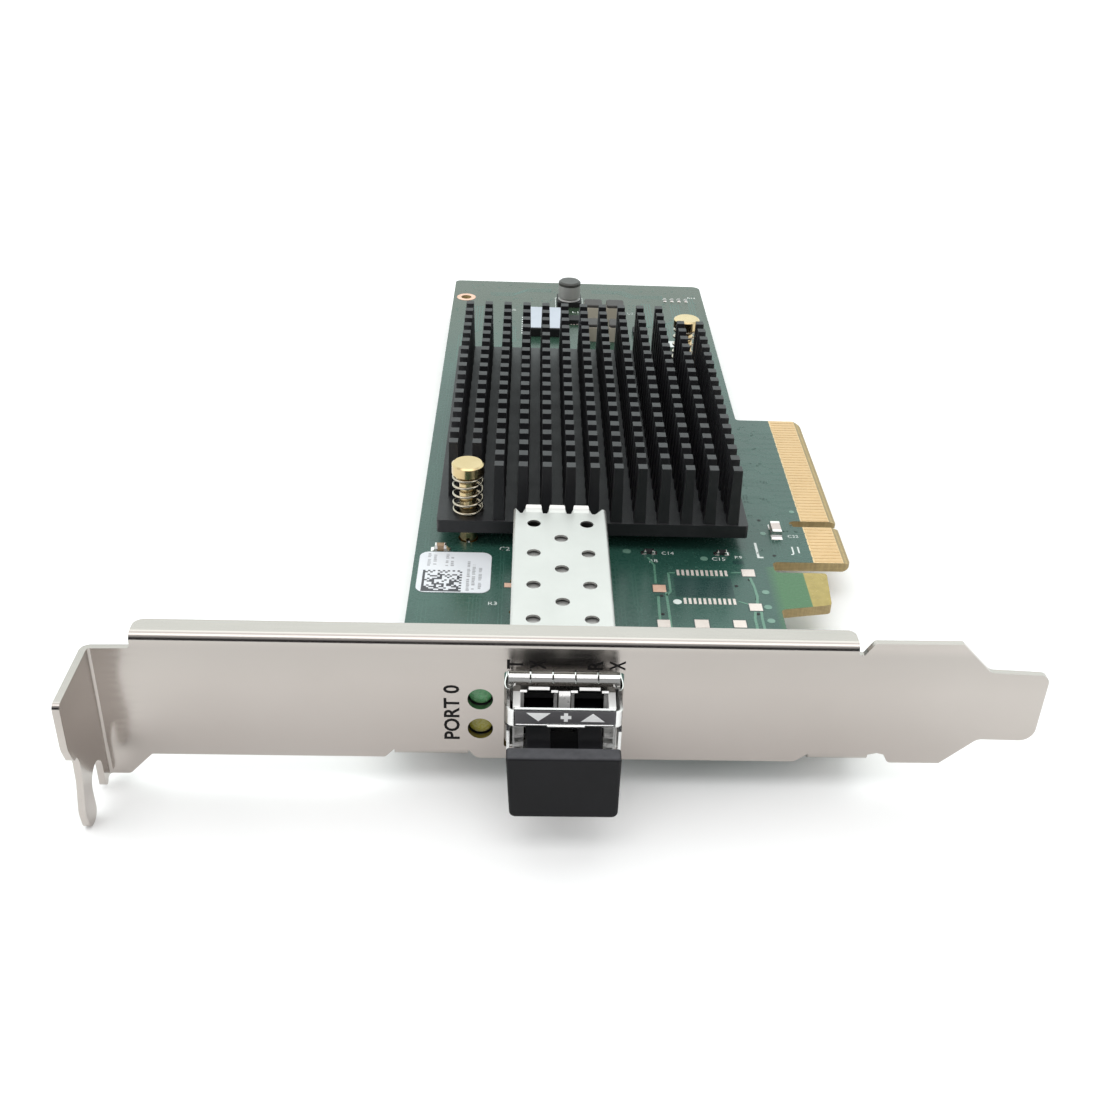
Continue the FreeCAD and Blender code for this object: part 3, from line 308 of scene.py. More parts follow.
def lens_mat(name, c1, c2):
    m, nt, b = new_mat(name)
    base = coords(nt)
    link(nt, tint(nt, noise(nt, base, 700, 3.0), c1, c2), b.inputs["Base Color"])
    link(nt, spread(nt, noise(nt, base, 3000, 2.0), 0.22, 0.34), b.inputs["Roughness"])
    b.inputs["Subsurface Weight"].default_value = 0.3
    b.inputs["Subsurface Radius"].default_value = (0.0006, 0.0006, 0.0006)
    b.inputs["Coat Weight"].default_value = 0.35
    b.inputs["Coat Roughness"].default_value = 0.12
    return m


lens_mat("green_lens", (0.068, 0.28, 0.10), (0.098, 0.35, 0.14))
lens_mat("amber_lens", (0.27, 0.245, 0.022), (0.34, 0.31, 0.036))


def board_mats():
    # solder mask over copper, with the bare laminate beyond the mask's edge
    m, nt, b = new_mat("solder_mask")
    obj = coords(nt)
    sep = nt.nodes.new("ShaderNodeSeparateXYZ")
    link(nt, obj, sep.inputs[0])
    x, y = sep.outputs["X"], sep.outputs["Y"]
    big = noise(nt, obj, 55, 3.0)
    fine = noise(nt, obj, 1400, 2.0)
    green = tint(nt, big, (0.021, 0.072, 0.054), (0.031, 0.098, 0.074), 0.35, 0.65)
    # rows of copper pour seen faintly through the mask
    lay = nt.nodes.new("ShaderNodeTexBrick")
    lay.offset = 0.37
    lay.inputs["Color1"].default_value = (0.0, 0.0, 0.0, 1)
    lay.inputs["Color2"].default_value = (1, 1, 1, 1)
    lay.inputs["Mortar"].default_value = (0.55, 0.55, 0.55, 1)
    lay.inputs["Scale"].default_value = 85.0
    lay.inputs["Mortar Size"].default_value = 0.012
    lay.inputs["Brick Width"].default_value = 0.9
    lay.inputs["Row Height"].default_value = 0.42
    link(nt, obj, lay.inputs["Vector"])
    pour = mixc(nt, math2(nt, "MULTIPLY", lay.outputs["Color"], 0.20), green, (0.010, 0.052, 0.042))
    # painted reflection: browner towards the rear edge, standing in for the greyer glare seen there
    pour = mixc(nt, spread(nt, y, 0.0, 0.85, 0.055, 0.098), pour, (0.034, 0.050, 0.026))
    grain = noise(nt, coords(nt, (1, 1, 1)), 900, 3.0)
    # no copper lies under the mask of the hooked lobe, so that it is paler
    lobe = math2(nt, "MULTIPLY", spread(nt, x, 0.0, 1.0, -0.0142, -0.0124), math2(nt, "LESS_THAN", y, -0.01365))
    pour = mixc(nt, lobe, pour, (0.040, 0.144, 0.050))
    # bare laminate: the lobe beyond x = -8.2 mm, and the contact strip beyond x = -5.95 mm
    lobe = math2(nt, "MULTIPLY", math2(nt, "GREATER_THAN", x, -0.0082), math2(nt, "LESS_THAN", y, -0.0140))
    tongue = math2(nt, "MULTIPLY", math2(nt, "GREATER_THAN", x, -0.00595), math2(nt, "GREATER_THAN", y, -0.0135))
    pour = mixc(nt, lobe, pour, tint(nt, grain, (0.32, 0.24, 0.048), (0.40, 0.305, 0.073), 0.3, 0.7))
    pour = mixc(nt, tongue, pour, tint(nt, grain, (0.72, 0.52, 0.26), (0.80, 0.59, 0.31), 0.3, 0.7))
    link(nt, pour, b.inputs["Base Color"])
    link(nt, spread(nt, math2(nt, "ADD", math2(nt, "MULTIPLY", fine, 0.5), math2(nt, "MULTIPLY", big, 0.5)), 0.22, 0.32, 0.4, 0.6),
         b.inputs["Roughness"])
    link(nt, bump(nt, noise(nt, obj, 5200, 1.0), 0.03, 0.00001), b.inputs["Normal"])
    # routed laminate edge with its glass layers
    m2, nt, b = new_mat("laminate_edge")
    obj = coords(nt)
    sep = nt.nodes.new("ShaderNodeSeparateXYZ")
    link(nt, obj, sep.inputs[0])
    ply = math2(nt, "SINE", math2(nt, "MULTIPLY", sep.outputs["Z"], 2 * math.pi / 0.00026))
    ply = math2(nt, "ADD", math2(nt, "MULTIPLY", ply, 0.22), noise(nt, coords(nt, (1, 1, 0.3)), 2600, 3.0))
    link(nt, tint(nt, ply, (0.26, 0.19, 0.08), (0.45, 0.34, 0.16), 0.25, 0.8), b.inputs["Base Color"])
    link(nt, spread(nt, ply, 0.5, 0.75), b.inputs["Roughness"])
    link(nt, bump(nt, ply, 0.3, 0.00003), b.inputs["Normal"])


board_mats()

# ------------------------------------------------------------- materials of CAD nodes
FINISH = {
    "bracket": "nickel_sheet", "bracket_screws": "screw_steel", "edge_contacts_top": "gold_plate",
    "edge_contacts_bottom": "gold_plate", "cage_shell": "tin_sheet", "cage_spring_collar": "spring_sheet",
    "host_connector": "black_resin", "host_connector_contacts": "gold_plate", "transceiver_base": "die_cast",
    "transceiver_cover": "cover_sheet", "port_receptacle": "black_resin", "laser_transmitter": "barrel_steel",
    "photo_receiver": "barrel_steel", "module_board": "module_mask", "module_driver_chip": "black_resin",
    "release_slide": "spring_sheet", "bail_pin": "screw_steel", "bail": "bail_sheet", "bail_label": "black_film",
    "dust_plug": "plug_resin", "heat_sink": "black_anodised", "push_pins": "brass", "push_pin_springs": "spring_wire",
    "controller_substrate": "module_mask", "controller_lid": "nickel_lid", "thermal_pad": "gap_pad",
    "led_block": "black_resin", "led_green": "green_lens", "led_amber": "amber_lens", "led_leads": "solder",
    "sticker": "label_paper", "ceramic_capacitors": "tan_ceramic", "chip_resistors": "dark_ceramic",
    "power_inductors": "ferrite", "switching_regulators": "black_resin", "bulk_capacitor": "can_sleeve",
    "bulk_capacitor_seat": "black_resin", "flash_memory": "black_resin", "memory_label": "chip_label",
    "clock_oscillator": "nickel_lid", "underside_capacitors": "tan_ceramic",
}
for node, finish in FINISH.items():
    me = NODES[node].data
    me.materials.clear()
    me.materials.append(MATS[finish])
# painted shade: the transceiver's front plate and the top of its nose take a darker copy of the cast finish, standing
# in for the shade they lie in
cast = NODES["transceiver_base"].data
cast.materials.append(MATS["die_cast_painted_shade"])
for poly in cast.polygons:
    c = poly.center
    if (poly.normal.y < -0.95 and abs(c.y + 0.0596) < 0.0001) or (poly.normal.z > 0.95 and abs(c.z - 0.011395) < 0.0001):
        poly.material_index = 1
# painted shade: the floor between the plug's prongs is painted near-black with little gloss, standing in for the shade
# there
gap = NODES["dust_plug"].data
gap.materials.append(MATS["plug_gap_painted_shade"])
for poly in gap.polygons:
    c = poly.center
    if poly.normal.z > 0.95 and abs(c.z - 0.007245) < 0.00004 and -0.0682 < c.y < -0.0632:
        poly.material_index = 1
board = NODES["circuit_board"].data
board.materials.clear()
board.materials.append(MATS["solder_mask"])
board.materials.append(MATS["laminate_edge"])
for poly in board.polygons:
    poly.material_index = 0 if abs(poly.normal.z) > 0.95 else 1


def soften(node, width, segments=2, angle=35.0):
    """Rounds a CAD node's sharp edges a little."""
    o = NODES[node]
    if "custom_normal" in o.data.attributes:
        o.data.attributes.remove(o.data.attributes["custom_normal"])
    w = o.modifiers.new("join", "WELD")
    w.merge_threshold = 1e-6
    d = o.modifiers.new("flats", "DECIMATE")
    d.decimate_type = "DISSOLVE"
    d.angle_limit = math.radians(0.3)
    b = o.modifiers.new("edges", "BEVEL")
    b.width = width * 0.001
    b.segments = segments
    b.limit_method = "ANGLE"
    b.angle_limit = math.radians(angle)
    b.use_clamp_overlap = True
    b.miter_outer = "MITER_ARC"
    n = o.modifiers.new("shade", "WEIGHTED_NORMAL")
    n.keep_sharp = False


soften("heat_sink", 0.12)


# ------------------------------------------------------------------------ mesh maker
class Draw:
    def __init__(self):
        self.v, self.f, self.m, self.s = [], [], [], []

    def add(self, verts, faces, mat=0, smooth=False):
        o = len(self.v)
        self.v += [tuple(p) for p in verts]
        for f in faces:
            self.f.append(tuple(i + o for i in f))
            self.m.append(mat)
            self.s.append(smooth)

    def stack(self, rings, mat=0, smooth=False, caps=True, cap_mat=None):
        """Closed solid from rings of equal point count."""
        n = len(rings[0])
        verts = [p for r in rings for p in r]
        faces = []
        for k in range(len(rings) - 1):
            for i in range(n):
                j = (i + 1) % n
                faces.append((k * n + i, k * n + j, (k + 1) * n + j, (k + 1) * n + i))
        o = len(self.v)
        self.add(verts, faces, mat, smooth)
        if caps:
            cm = mat if cap_mat is None else cap_mat
            self.f.append(tuple(o + i for i in reversed(range(n))))
            self.m.append(mat)
            self.s.append(False)
            k = (len(rings) - 1) * n
            self.f.append(tuple(o + k + i for i in range(n)))
            self.m.append(cm)
            self.s.append(False)

    def prism(self, pts, w0, w1, to, mat=0):
        self.stack([[to(u, v, w0) for u, v in pts], [to(u, v, w1) for u, v in pts]], mat)

    def block(self, u0, v0, u1, v1, w0, w1, to, mat=0, edge=0.0, corner=0.0, steps=2, top_mat=None):
        """Box with rounded vertical corners and a rounded top edge."""
        def ring(inset, w):
            pts = []
            r = max(corner - inset * 0.6, 0.0)
            a0, b0, a1, b1 = u0 + inset, v0 + inset, u1 - inset, v1 - inset
            if corner <= 0:
                pts = [(a0, b0), (a1, b0), (a1, b1), (a0, b1)]
            else:
                for cx, cy, q in ((a1 - r, b0 + r, -90), (a1 - r, b1 - r, 0), (a0 + r, b1 - r, 90), (a0 + r, b0 + r, 180)):
                    for k in range(4):
                        t = math.radians(q + 30 * k)
                        pts.append((cx + r * math.cos(t), cy + r * math.sin(t)))
            return [to(u, v, w) for u, v in pts]
        rings = [ring(0, w0)]
        if edge > 0:
            for k in range(steps + 1):
                t = math.pi / 2 * k / steps
                rings.append(ring(edge * (1 - math.cos(t)), w1 - edge + edge * math.sin(t)))
        else:
            rings.append(ring(0, w1))
        self.stack(rings, mat, cap_mat=top_mat)

    def disc(self, u, v, r, w0, w1, to, mat=0, n=16, dome=0.0):
        def ring(rad, w):
            return [to(u + rad * math.cos(2 * math.pi * i / n), v + rad * math.sin(2 * math.pi * i / n), w) for i in range(n)]
        rings = [ring(r, w0), ring(r, w1)]
        if dome > 0:
            rings += [ring(r * 0.8, w1 + dome * 0.6), ring(r * 0.45, w1 + dome)]
        self.stack(rings, mat, smooth=dome > 0)

    def ring(self, u, v, ri, ro, w0, w1, to, mat=0, n=16):
        verts, faces = [], []
        for i in range(n):
            a = 2 * math.pi * i / n
            c, s = math.cos(a), math.sin(a)
            verts += [to(u + ro * c, v + ro * s, w0), to(u + ro * c, v + ro * s, w1),
                      to(u + ri * c, v + ri * s, w1), to(u + ri * c, v + ri * s, w0)]
        for i in range(n):
            j = (i + 1) % n
            for k in range(4):
                l = (k + 1) % 4
                faces.append((i * 4 + k, j * 4 + k, j * 4 + l, i * 4 + l))
        self.add(verts, faces, mat)

    def ribbon(self, pts, width, w0, w1, to, mat=0):
        """Flat strip along a bent line."""
        n = len(pts)
        left, right = [], []
        for i in range(n):
            a = pts[max(i - 1, 0)]
            b = pts[min(i + 1, n - 1)]
            d0 = Vector((pts[i][0] - a[0], pts[i][1] - a[1]))
            d1 = Vector((b[0] - pts[i][0], b[1] - pts[i][1]))
            if d0.length < 1e-9:
                d0 = d1
            if d1.length < 1e-9:
                d1 = d0
            d0.normalize()
            d1.normalize()
            t = (d0 + d1).normalized()
            nrm = Vector((-t.y, t.x))
            k = width / 2 / max(0.4, nrm.dot(Vector((-d1.y, d1.x))))
            left.append((pts[i][0] + nrm.x * k, pts[i][1] + nrm.y * k))
            right.append((pts[i][0] - nrm.x * k, pts[i][1] - nrm.y * k))
        verts, faces = [], []
        for i in range(n):
            verts += [to(*left[i], w0), to(*left[i], w1), to(*right[i], w1), to(*right[i], w0)]
        for i in range(n - 1):
            for k in range(4):
                l = (k + 1) % 4
                faces.append((i * 4 + k, i * 4 + 4 + k, i * 4 + 4 + l, i * 4 + l))
        faces.append((0, 1, 2, 3))
        e = (n - 1) * 4
        faces.append((e + 3, e + 2, e + 1, e))
        self.add(verts, faces, mat)

    def words(self, text, u0, v0, u1, v1, w0, w1, to, mat=0, bold=0.0):
        """Lettering stretched to a box, u along the line and v up the letters."""
        cu = bpy.data.curves.new("words", "FONT")
        cu.body = text
        cu.extrude = 0.5
        cu.offset = bold
        cu.resolution_u = 3
        ob = bpy.data.objects.new("words", cu)
        bpy.context.scene.collection.objects.link(ob)
        dg = bpy.context.evaluated_depsgraph_get()
        me = bpy.data.meshes.new_from_object(ob.evaluated_get(dg))
        bm = bmesh.new()
        bm.from_mesh(me)
        bmesh.ops.remove_doubles(bm, verts=bm.verts, dist=1e-5)
        xs = [p.co.x for p in bm.verts]
        ys = [p.co.y for p in bm.verts]
        lx, hx, ly, hy = min(xs), max(xs), min(ys), max(ys)
        bm.verts.index_update()
        verts = []
        for p in bm.verts:
            u = u0 + (p.co.x - lx) / (hx - lx) * (u1 - u0)
            v = v0 + (p.co.y - ly) / (hy - ly) * (v1 - v0)
            verts.append(to(u, v, w1 if p.co.z > 0 else w0))
        self.add(verts, [tuple(q.index for q in f.verts) for f in bm.faces], mat)
        bm.free()
        bpy.data.objects.remove(ob)
        bpy.data.curves.remove(cu)
        bpy.data.meshes.remove(me)

    def make(self, name, body, mats, stands_for=()):
        me = bpy.data.meshes.new(name)
        me.from_pydata([put(p) for p in self.v], [], self.f)
        for k in mats:
            me.materials.append(MATS[k])
        for p, mi, sm in zip(me.polygons, self.m, self.s):
            p.material_index = mi
            p.use_smooth = sm
        bm = bmesh.new()
        bm.from_mesh(me)
        bmesh.ops.recalc_face_normals(bm, faces=bm.faces)
        bm.to_mesh(me)
        bm.free()
        o = bpy.data.objects.new(name, me)
        bpy.context.scene.collection.objects.link(o)
        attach(o, body)
        if stands_for:
            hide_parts(*stands_for)
        return o


# ------------------------------------------------------------------------- lettering
d = Draw()
# the port word runs up the plate; the port letters each lie on their side
d.words("PORT 0", -15.39, -46.09, -6.85, -44.07, 0.0, 0.015, lambda u, v, w: (-v, -w, u), 0, 0.022)
for ch, x0, x1 in (("T", 51.97, 53.95), ("X", 54.79, 56.79), ("R", 61.93, 63.83), ("X", 64.64, 66.62)):
    d.words(ch, -4.2, -x1, -2.8, -x0, 0.0, 0.015, lambda u, v, w: (-v, -w, u), 0, 0.022)
d.make("bracket_lettering", "card", ["black_ink"])

d = Draw()
LY = -6.76


def on_label(u, v, w):
    return (u, LY - w, v)


zc = -6.375
d.prism([(PORT - 4.67, zc + 0.63), (PORT - 3.20, zc - 0.62), (PORT - 1.73, zc + 0.63)], 0, 0.02, on_label)
d.prism([(PORT + 1.92, zc - 0.62), (PORT + 4.82, zc - 0.62), (PORT + 3.37, zc + 0.63)], 0, 0.02, on_label)
t, l, xc = 0.24, 0.65, PORT + 0.12
d.prism([(xc - t, zc - l), (xc + t, zc - l), (xc + t, zc - t), (xc + l, zc - t), (xc + l, zc + t), (xc + t, zc + t), (xc + t, zc + l),
         (xc - t, zc + l), (xc - t, zc + t), (xc - l, zc + t), (xc - l, zc - t), (xc - t, zc - t)], 0, 0.02, on_label)
d.make("bail_label_marks", "bail", ["white_ink"])

# ---------------------------------------------------------------------- sticker print
rng = random.Random(41)
d = Draw()


def on_sticker(u, v, w):
    return (u, v, TOP + 0.1 + w)


n, cell = 16, 0.375
for i in range(n):
    for j in range(n):
        if i == 0 or j == 0 or (i == n - 1 and j % 2 == 0) or (j == n - 1 and i % 2 == 0) or (0 < i < n - 1 and 0 < j < n - 1 and rng.random() < 0.5):
            u, v = 38.4 + i * cell, 35.1 + j * cell
            d.block(u, v, u + cell * 1.0, v + cell * 1.0, 0, 0.006, on_sticker, 0)
# runs of short bars in place of print
for x, y0, y1, k in ((38.9, 42.3, 46.0, 1), (39.8, 42.3, 45.7, 1), (41.7, 42.3, 45.9, 1), (42.5, 42.3, 45.2, 1),
                     (45.1, 35.4, 43.9, 1), (45.9, 35.4, 42.8, 1), (46.9, 35.4, 42.0, 1)):
    y = y0
    while y < y1:
        ln = rng.choice((0.22, 0.3, 0.42))
        if rng.random() < 0.86:
            d.block(x, y, x + rng.choice((0.42, 0.5)), min(y + ln, y1), 0, 0.006, on_sticker, k)
        y += ln + 0.14
d.make("sticker_print", "card", ["dark_ink", "grey_ink"])

# ------------------------------------------------------------------------ push springs
def springs():
    d = Draw()
    z0, z1, r, wire, pitch = -10.98, -4.18, 2.25, 0.42, 1.55
    h = z1 - z0 - wire
    # the first and last turn lie nearly flat
    end, rise = 0.85, 0.46
    turns = (h - 2 * rise) / pitch + 2 * end
    steps, sides = int(turns * 44), 12
    for x, y in ((44.85, 51.2), (84.5, 113.7)):
        rings = []
        slope = math.atan2(pitch, 2 * math.pi * r)
        for i in range(steps + 1):
            t = turns * i / steps
            a = 2 * math.pi * t
            if t < end:
                cz = rise * t / end
            elif t > turns - end:
                cz = h - rise * (turns - t) / end
            else:
                cz = rise + (t - end) * pitch
            cz += z0 + wire / 2
            ca, sa = math.cos(a), math.sin(a)
            ring = []
            for k in range(sides):
                b = 2 * math.pi * k / sides
                u, w = wire / 2 * math.cos(b), wire / 2 * math.sin(b)
                tt = -w * math.sin(slope)
                ring.append((x + (r + u) * ca - tt * sa, y + (r + u) * sa + tt * ca, cz + w * math.cos(slope)))
            rings.append(ring)
        d.stack(rings, 0, smooth=True)
    d.make("push_pin_coils", "card", ["spring_wire"], ("push_pin_springs",))


springs()


# -------------------------------------------------------------------- board components
def chip_part(d, x, y, lx, ly, h, to, body=0, metal_i=1, solder_i=1, pads=True):
    """Two-ended chip: body, wrapped end caps, solder fillets and its pads."""
    along_x = lx >= ly
    L, W = (lx, ly) if along_x else (ly, lx)

    def m(u, v, w):
        return to(x + u, y + v, w) if along_x else to(x + v, y + u, w)
    e = min(0.12, h * 0.18)
    d.block(-L / 2 + 0.06, -W / 2 + 0.02, L / 2 - 0.06, W / 2 - 0.02, 0.02, h - 0.02, m, body, edge=e * 0.6)
    cap = L * 0.22
    for k in (-1, 1):
        a, b = (L / 2 - cap, L / 2) if k > 0 else (-L / 2, -L / 2 + cap)
        d.block(a, -W / 2, b, W / 2, 0.01, h, m, metal_i, edge=e)
        o = k * L / 2
        if pads:
            f = 0.34 * h + 0.16
            d.stack([[m(o - k * 0.02, -W / 2, 0.0), m(o + k * f, -W / 2, 0.0), m(o + k * f * 0.4, -W / 2, h * 0.16), m(o - k * 0.02, -W / 2, h * 0.42)],
                     [m(o - k * 0.02, W / 2, 0.0), m(o + k * f, W / 2, 0.0), m(o + k * f * 0.4, W / 2, h * 0.16), m(o - k * 0.02, W / 2, h * 0.42)]], solder_i)
            u0, u1 = sorted((o - k * cap * 1.1, o + k * (f + 0.14)))
            d.block(u0, -W / 2 - 0.1, u1, W / 2 + 0.1, 0.0, 0.035, m, solder_i)


d = Draw()
CAPS = [(94.7, 54.8, 1.6, 3.4, 1.2, 2)]
CAPS += [(x, y, 1.6, 0.85, 0.6, 3) for x, y in ((73.5, 47.55), (85.1, 47.65))]
CAPS += [(40.7, 47.4, 1.8, 1.0, 1.0, 0)]
CAPS += [(x, y, 1.6, 0.85, 0.85, 0) for x in (54.6, 58.4, 77.2, 81.4) for y in (123.2, 126.4)]
for x, y, lx, ly, h, k in CAPS:
    chip_part(d, x, y, lx, ly, h, on_top, k)
d.make("capacitor_parts", "card", ["tan_ceramic", "chip_ends", "pale_ceramic", "dark_ceramic"], ("ceramic_capacitors",))

d = Draw()
RES = [(41.0 + 2.1 * i, 124.6, 0.55, 1.0, 0.35) for i in range(5)]
RES += [(84.6 + 1.6 * i, 158.8, 0.55, 1.0, 0.35) for i in range(4)]
for x, y, lx, ly, h in RES:
    chip_part(d, x, y, lx, ly, h, on_top)
d.make("resistor_parts", "card", ["dark_ceramic", "chip_ends"], ("chip_resistors",))

d = Draw()
LOW = [(62.0 - 9 + 3.0 * i, 84.0 - 9 + 4.5 * j, 1.0, 0.55, 0.5) for i in range(7) for j in range(5)]
LOW += [(x, y, 1.6, 0.85, 0.8) for x in (56.0, 62.0, 68.0, 74.0) for y in (134.0, 141.0, 148.0)]
for x, y, lx, ly, h in LOW:
    chip_part(d, x, y, lx, ly, h, on_bottom)
d.make("underside_capacitor_parts", "card", ["tan_ceramic", "chip_ends"], ("underside_capacitors",))

# power inductors: pale pressed sides, a dark top plate and two end clips
d = Draw()
for x, y in ((67.75, 146.6), (72.5, 146.6), (67.85, 135.4), (72.6, 135.4)):
    d.block(x - 1.95, y - 1.95, x + 1.95, y + 1.95, 0.03, 3.2, on_top, 1, edge=0.12, corner=0.5, steps=2)
    d.block(x - 1.9, y - 1.9, x + 1.9, y + 1.9, 3.15, 3.8, on_top, 0, edge=0.25, corner=0.55, steps=3)
    for k in (-1, 1):
        d.block(x + k * 1.5 - 0.5, y - 1.3, x + k * 1.5 + 0.5, y + 1.3, 0.0, 0.06, on_top, 2)
        a, b = sorted((x + k * 1.93, x + k * 2.05))
        d.block(a, y - 1.1, b, y + 1.1, 0.0, 1.3, on_top, 2, edge=0.05)
d.make("inductor_parts", "card", ["ferrite", "ferrite_side", "solder"], ("power_inductors",))

# memory chip with formed leads under its paper label
d = Draw()
x, y = 57.2, 141.6
d.block(x - 3.75, y - 6.3, x + 3.75, y + 6.3, 0.12, 1.0, on_top, 0)
d.block(x - 3.75, y - 6.3, x + 3.75, y + 6.3, 1.0, 1.9, on_top, 0, edge=0.22, corner=0.15)
for i in range(8):
    v = y + (i - 3.5) * 1.27
    for k in (-1, 1):
        prof = [(3.65, 1.0), (4.05, 1.0), (4.2, 0.84), (4.2, 0.2), (4.28, 0.12), (4.65, 0.12), (4.65, 0.0), (4.2, 0.0), (4.06, 0.12), (4.06, 0.78),
                (3.96, 0.86), (3.65, 0.86)]
        d.stack([[on_top(x + k * a, v - 0.2, w) for a, w in prof], [on_top(x + k * a, v + 0.2, w) for a, w in prof]], 1)
        u0, u1 = sorted((x + k * 4.0, x + k * 4.95))
        d.block(u0, v - 0.3, u1, v + 0.3, 0.0, 0.035, on_top, 1)
d.make("memory_chip_parts", "card", ["black_resin", "solder"], ("flash_memory",))

# ------------------------------------------------------------------------- board art
rng = random.Random(7)
PAD, INK, TRC, VIA, DRK, COP, HOLE_SHADE, FNT = 0, 1, 2, 3, 4, 5, 6, 7
d = Draw()
# empty chip footprint beside the port
for i in range(11):
    d.block(77.62 + 0.748 * i - 0.21, 41.0, 77.62 + 0.748 * i + 0.21, 42.6, 0, 0.035, on_top, PAD)
    d.block(78.03 + 0.746 * i - 0.21, 33.0, 78.03 + 0.746 * i + 0.21, 34.6, 0, 0.035, on_top, PAD)
d.block(76.8, 35.0, 85.7, 40.5, 0, 0.012, on_top, DRK)
d.block(86.6, 44.6, 88.3, 45.7, 0, 0.012, on_top, DRK)
d.disc(76.85, 33.55, 0.66, 0, 0.02, on_top, INK, n=20)
for x, y, s, k in ((74.4, 37.15, 1.0, COP), (88.63, 42.08, 1.02, PAD), (88.53, 32.43, 0.98, PAD), (74.38, 27.7, 0.95, PAD), (79.97, 27.8, 1.05, PAD),
                   (85.59, 27.9, 0.95, PAD), (51.47, 37.3, 0.6, COP)):
    d.block(x - s - 0.18, y - s - 0.18, x + s + 0.18, y + s + 0.18, 0, 0.014, on_top, DRK)
    d.block(x - s, y - s, x + s, y + s, 0, 0.045, on_top, k, edge=0.03)
# painted shade: black discs on the mask stand in for the dark inside of holes that are not cut
for x, y in ((74.39, 30.16), (74.59, 35.15), (88.57, 40.09), (86.31, 38.23), (88.63, 30.6), (93.51, 47.4), (92.55, 58.64), (89.0, 34.6)):
    d.disc(x, y, 0.3, 0, 0.02, on_top, HOLE_SHADE, n=14)
for pts, w in (([(74.06, 34.9), (73.9, 30.2), (73.9, 24.0)], 0.4), ([(75.36, 36.2), (75.36, 24.0)], 0.4),
               ([(73.2, 46.2), (74.06, 43.9), (73.95, 38.6)], 0.36), ([(76.1, 41.7), (77.1, 41.7)], 0.3), ([(76.1, 41.7), (76.05, 36.3), (75.36, 35.2)], 0.36),
               ([(88.7, 40.6), (89.01, 38.4), (89.16, 35.4), (88.9, 33.4)], 0.4), ([(88.3, 31.2), (88.01, 29.4), (88.01, 22.0)], 0.4),
               ([(89.2, 31.2), (89.08, 29.6), (89.08, 22.0)], 0.4), ([(86.1, 33.9), (87.5, 33.2)], 0.25), ([(85.9, 42.0), (87.5, 42.1)], 0.25)):
    d.ribbon(pts, w, 0, 0.03, on_top, TRC)
for x, y, r in ((70.0, 47.9, 0.66), (82.13, 46.1, 0.62), (90.6, 36.62, 0.58), (90.39, 32.49, 0.6), (90.34, 28.84, 0.6), (92.65, 54.33, 0.5), (98.5, 61.72, 0.45)):
    d.disc(x, y, r, 0, 0.03, on_top, VIA, n=18)
d.block(90.7, 46.6, 91.1, 51.3, 0, 0.012, on_top, INK)
d.block(91.1, 46.6, 91.7, 47.0, 0, 0.012, on_top, INK)
for txt, x, y, s in (("R8", 73.4, 44.7, 0.9), ("C14", 75.5, 47.1, 0.9), ("C15", 83.4, 45.6, 0.95), ("R9", 87.1, 46.3, 0.8),
                     ("C2", 49.9, 47.4, 1.1), ("R3", 48.6, 31.8, 0.9),
                     ("L1", 63.4, 149.6, 0.9), ("L2", 75.6, 149.6, 0.9), ("C9", 66.4, 157.4, 0.9), ("U5", 49.6, 150.0, 0.9),
                     ("C22", 96.6, 53.2, 0.8), ("Y1", 86.8, 131.4, 0.9), ("R14", 90.0, 160.4, 0.8)):
    d.words(txt, x, y, x + s * 0.72 * len(txt), y + s, 0, 0.012, on_top, INK)
d.words("J1", 96.27, 47.74, 97.8, 50.28, 0, 0.012, on_top, INK)


def bundle(x0, y0, x1, y1, n, pitch, w, to, mat=FNT, jog=None):
    """Parallel traces with one 45-degree jog."""
    dx, dy = x1 - x0, y1 - y0
    for i in range(n):
        o = (i - (n - 1) / 2) * pitch
        w1 = 0.008 if mat == FNT else 0.028
        if abs(dy) >= abs(dx):
            j = y0 + (dy - math.copysign(abs(dx), dy)) * (0.5 if jog is None else jog)
            d.ribbon([(x0 + o, y0), (x0 + o, j + o * 0.4), (x1 + o, j + math.copysign(abs(dx), dy) + o * 0.4), (x1 + o, y1)] if abs(dx) > 0.05 else
                     [(x0 + o, y0), (x1 + o, y1)], w, 0, w1, to, mat)
        else:
            j = x0 + (dx - math.copysign(abs(dy), dx)) * (0.5 if jog is None else jog)
            d.ribbon([(x0, y0 + o), (j + o * 0.4, y0 + o), (j + math.copysign(abs(dy), dx) + o * 0.4, y1 + o), (x1, y1 + o)] if abs(dy) > 0.05 else
                     [(x0, y0 + o), (x1, y1 + o)], w, 0, w1, to, mat)
        d.disc(x1 if abs(dy) < abs(dx) else x1 + o, y1 + o if abs(dy) < abs(dx) else y1, 0.24, 0, w1 + 0.004, to, mat, n=10)


# pairs from the contacts inwards, under the sink
for i in range(16):
    y = 61.2 + 2.0 * i
    bundle(99.6, y, 90.0, y + (1.6 if i % 3 else -1.2), 2, 0.42, 0.17, on_top, FNT, 0.3 + 0.4 * rng.random())
for i in range(5):
    y = 47.0 + 1.9 * i
    bundle(99.6, y, 95.8 + 0.6 * (i % 2), y + 0.6, 1, 0.4, 0.3, on_top, FNT)
bundle(96.2, 59.5, 94.2, 47.0, 3, 0.6, 0.2, on_top)
bundle(68.0, 22.0, 67.6, 47.0, 4, 0.55, 0.2, on_top)
bundle(71.0, 20.0, 70.6, 44.0, 2, 0.5, 0.24, on_top)
bundle(39.0, 20.0, 39.0, 33.0, 3, 0.6, 0.22, on_top)
bundle(44.0, 18.0, 46.6, 33.4, 4, 0.55, 0.2, on_top)
bundle(50.4, 20.0, 50.4, 47.4, 2, 0.5, 0.22, on_top)
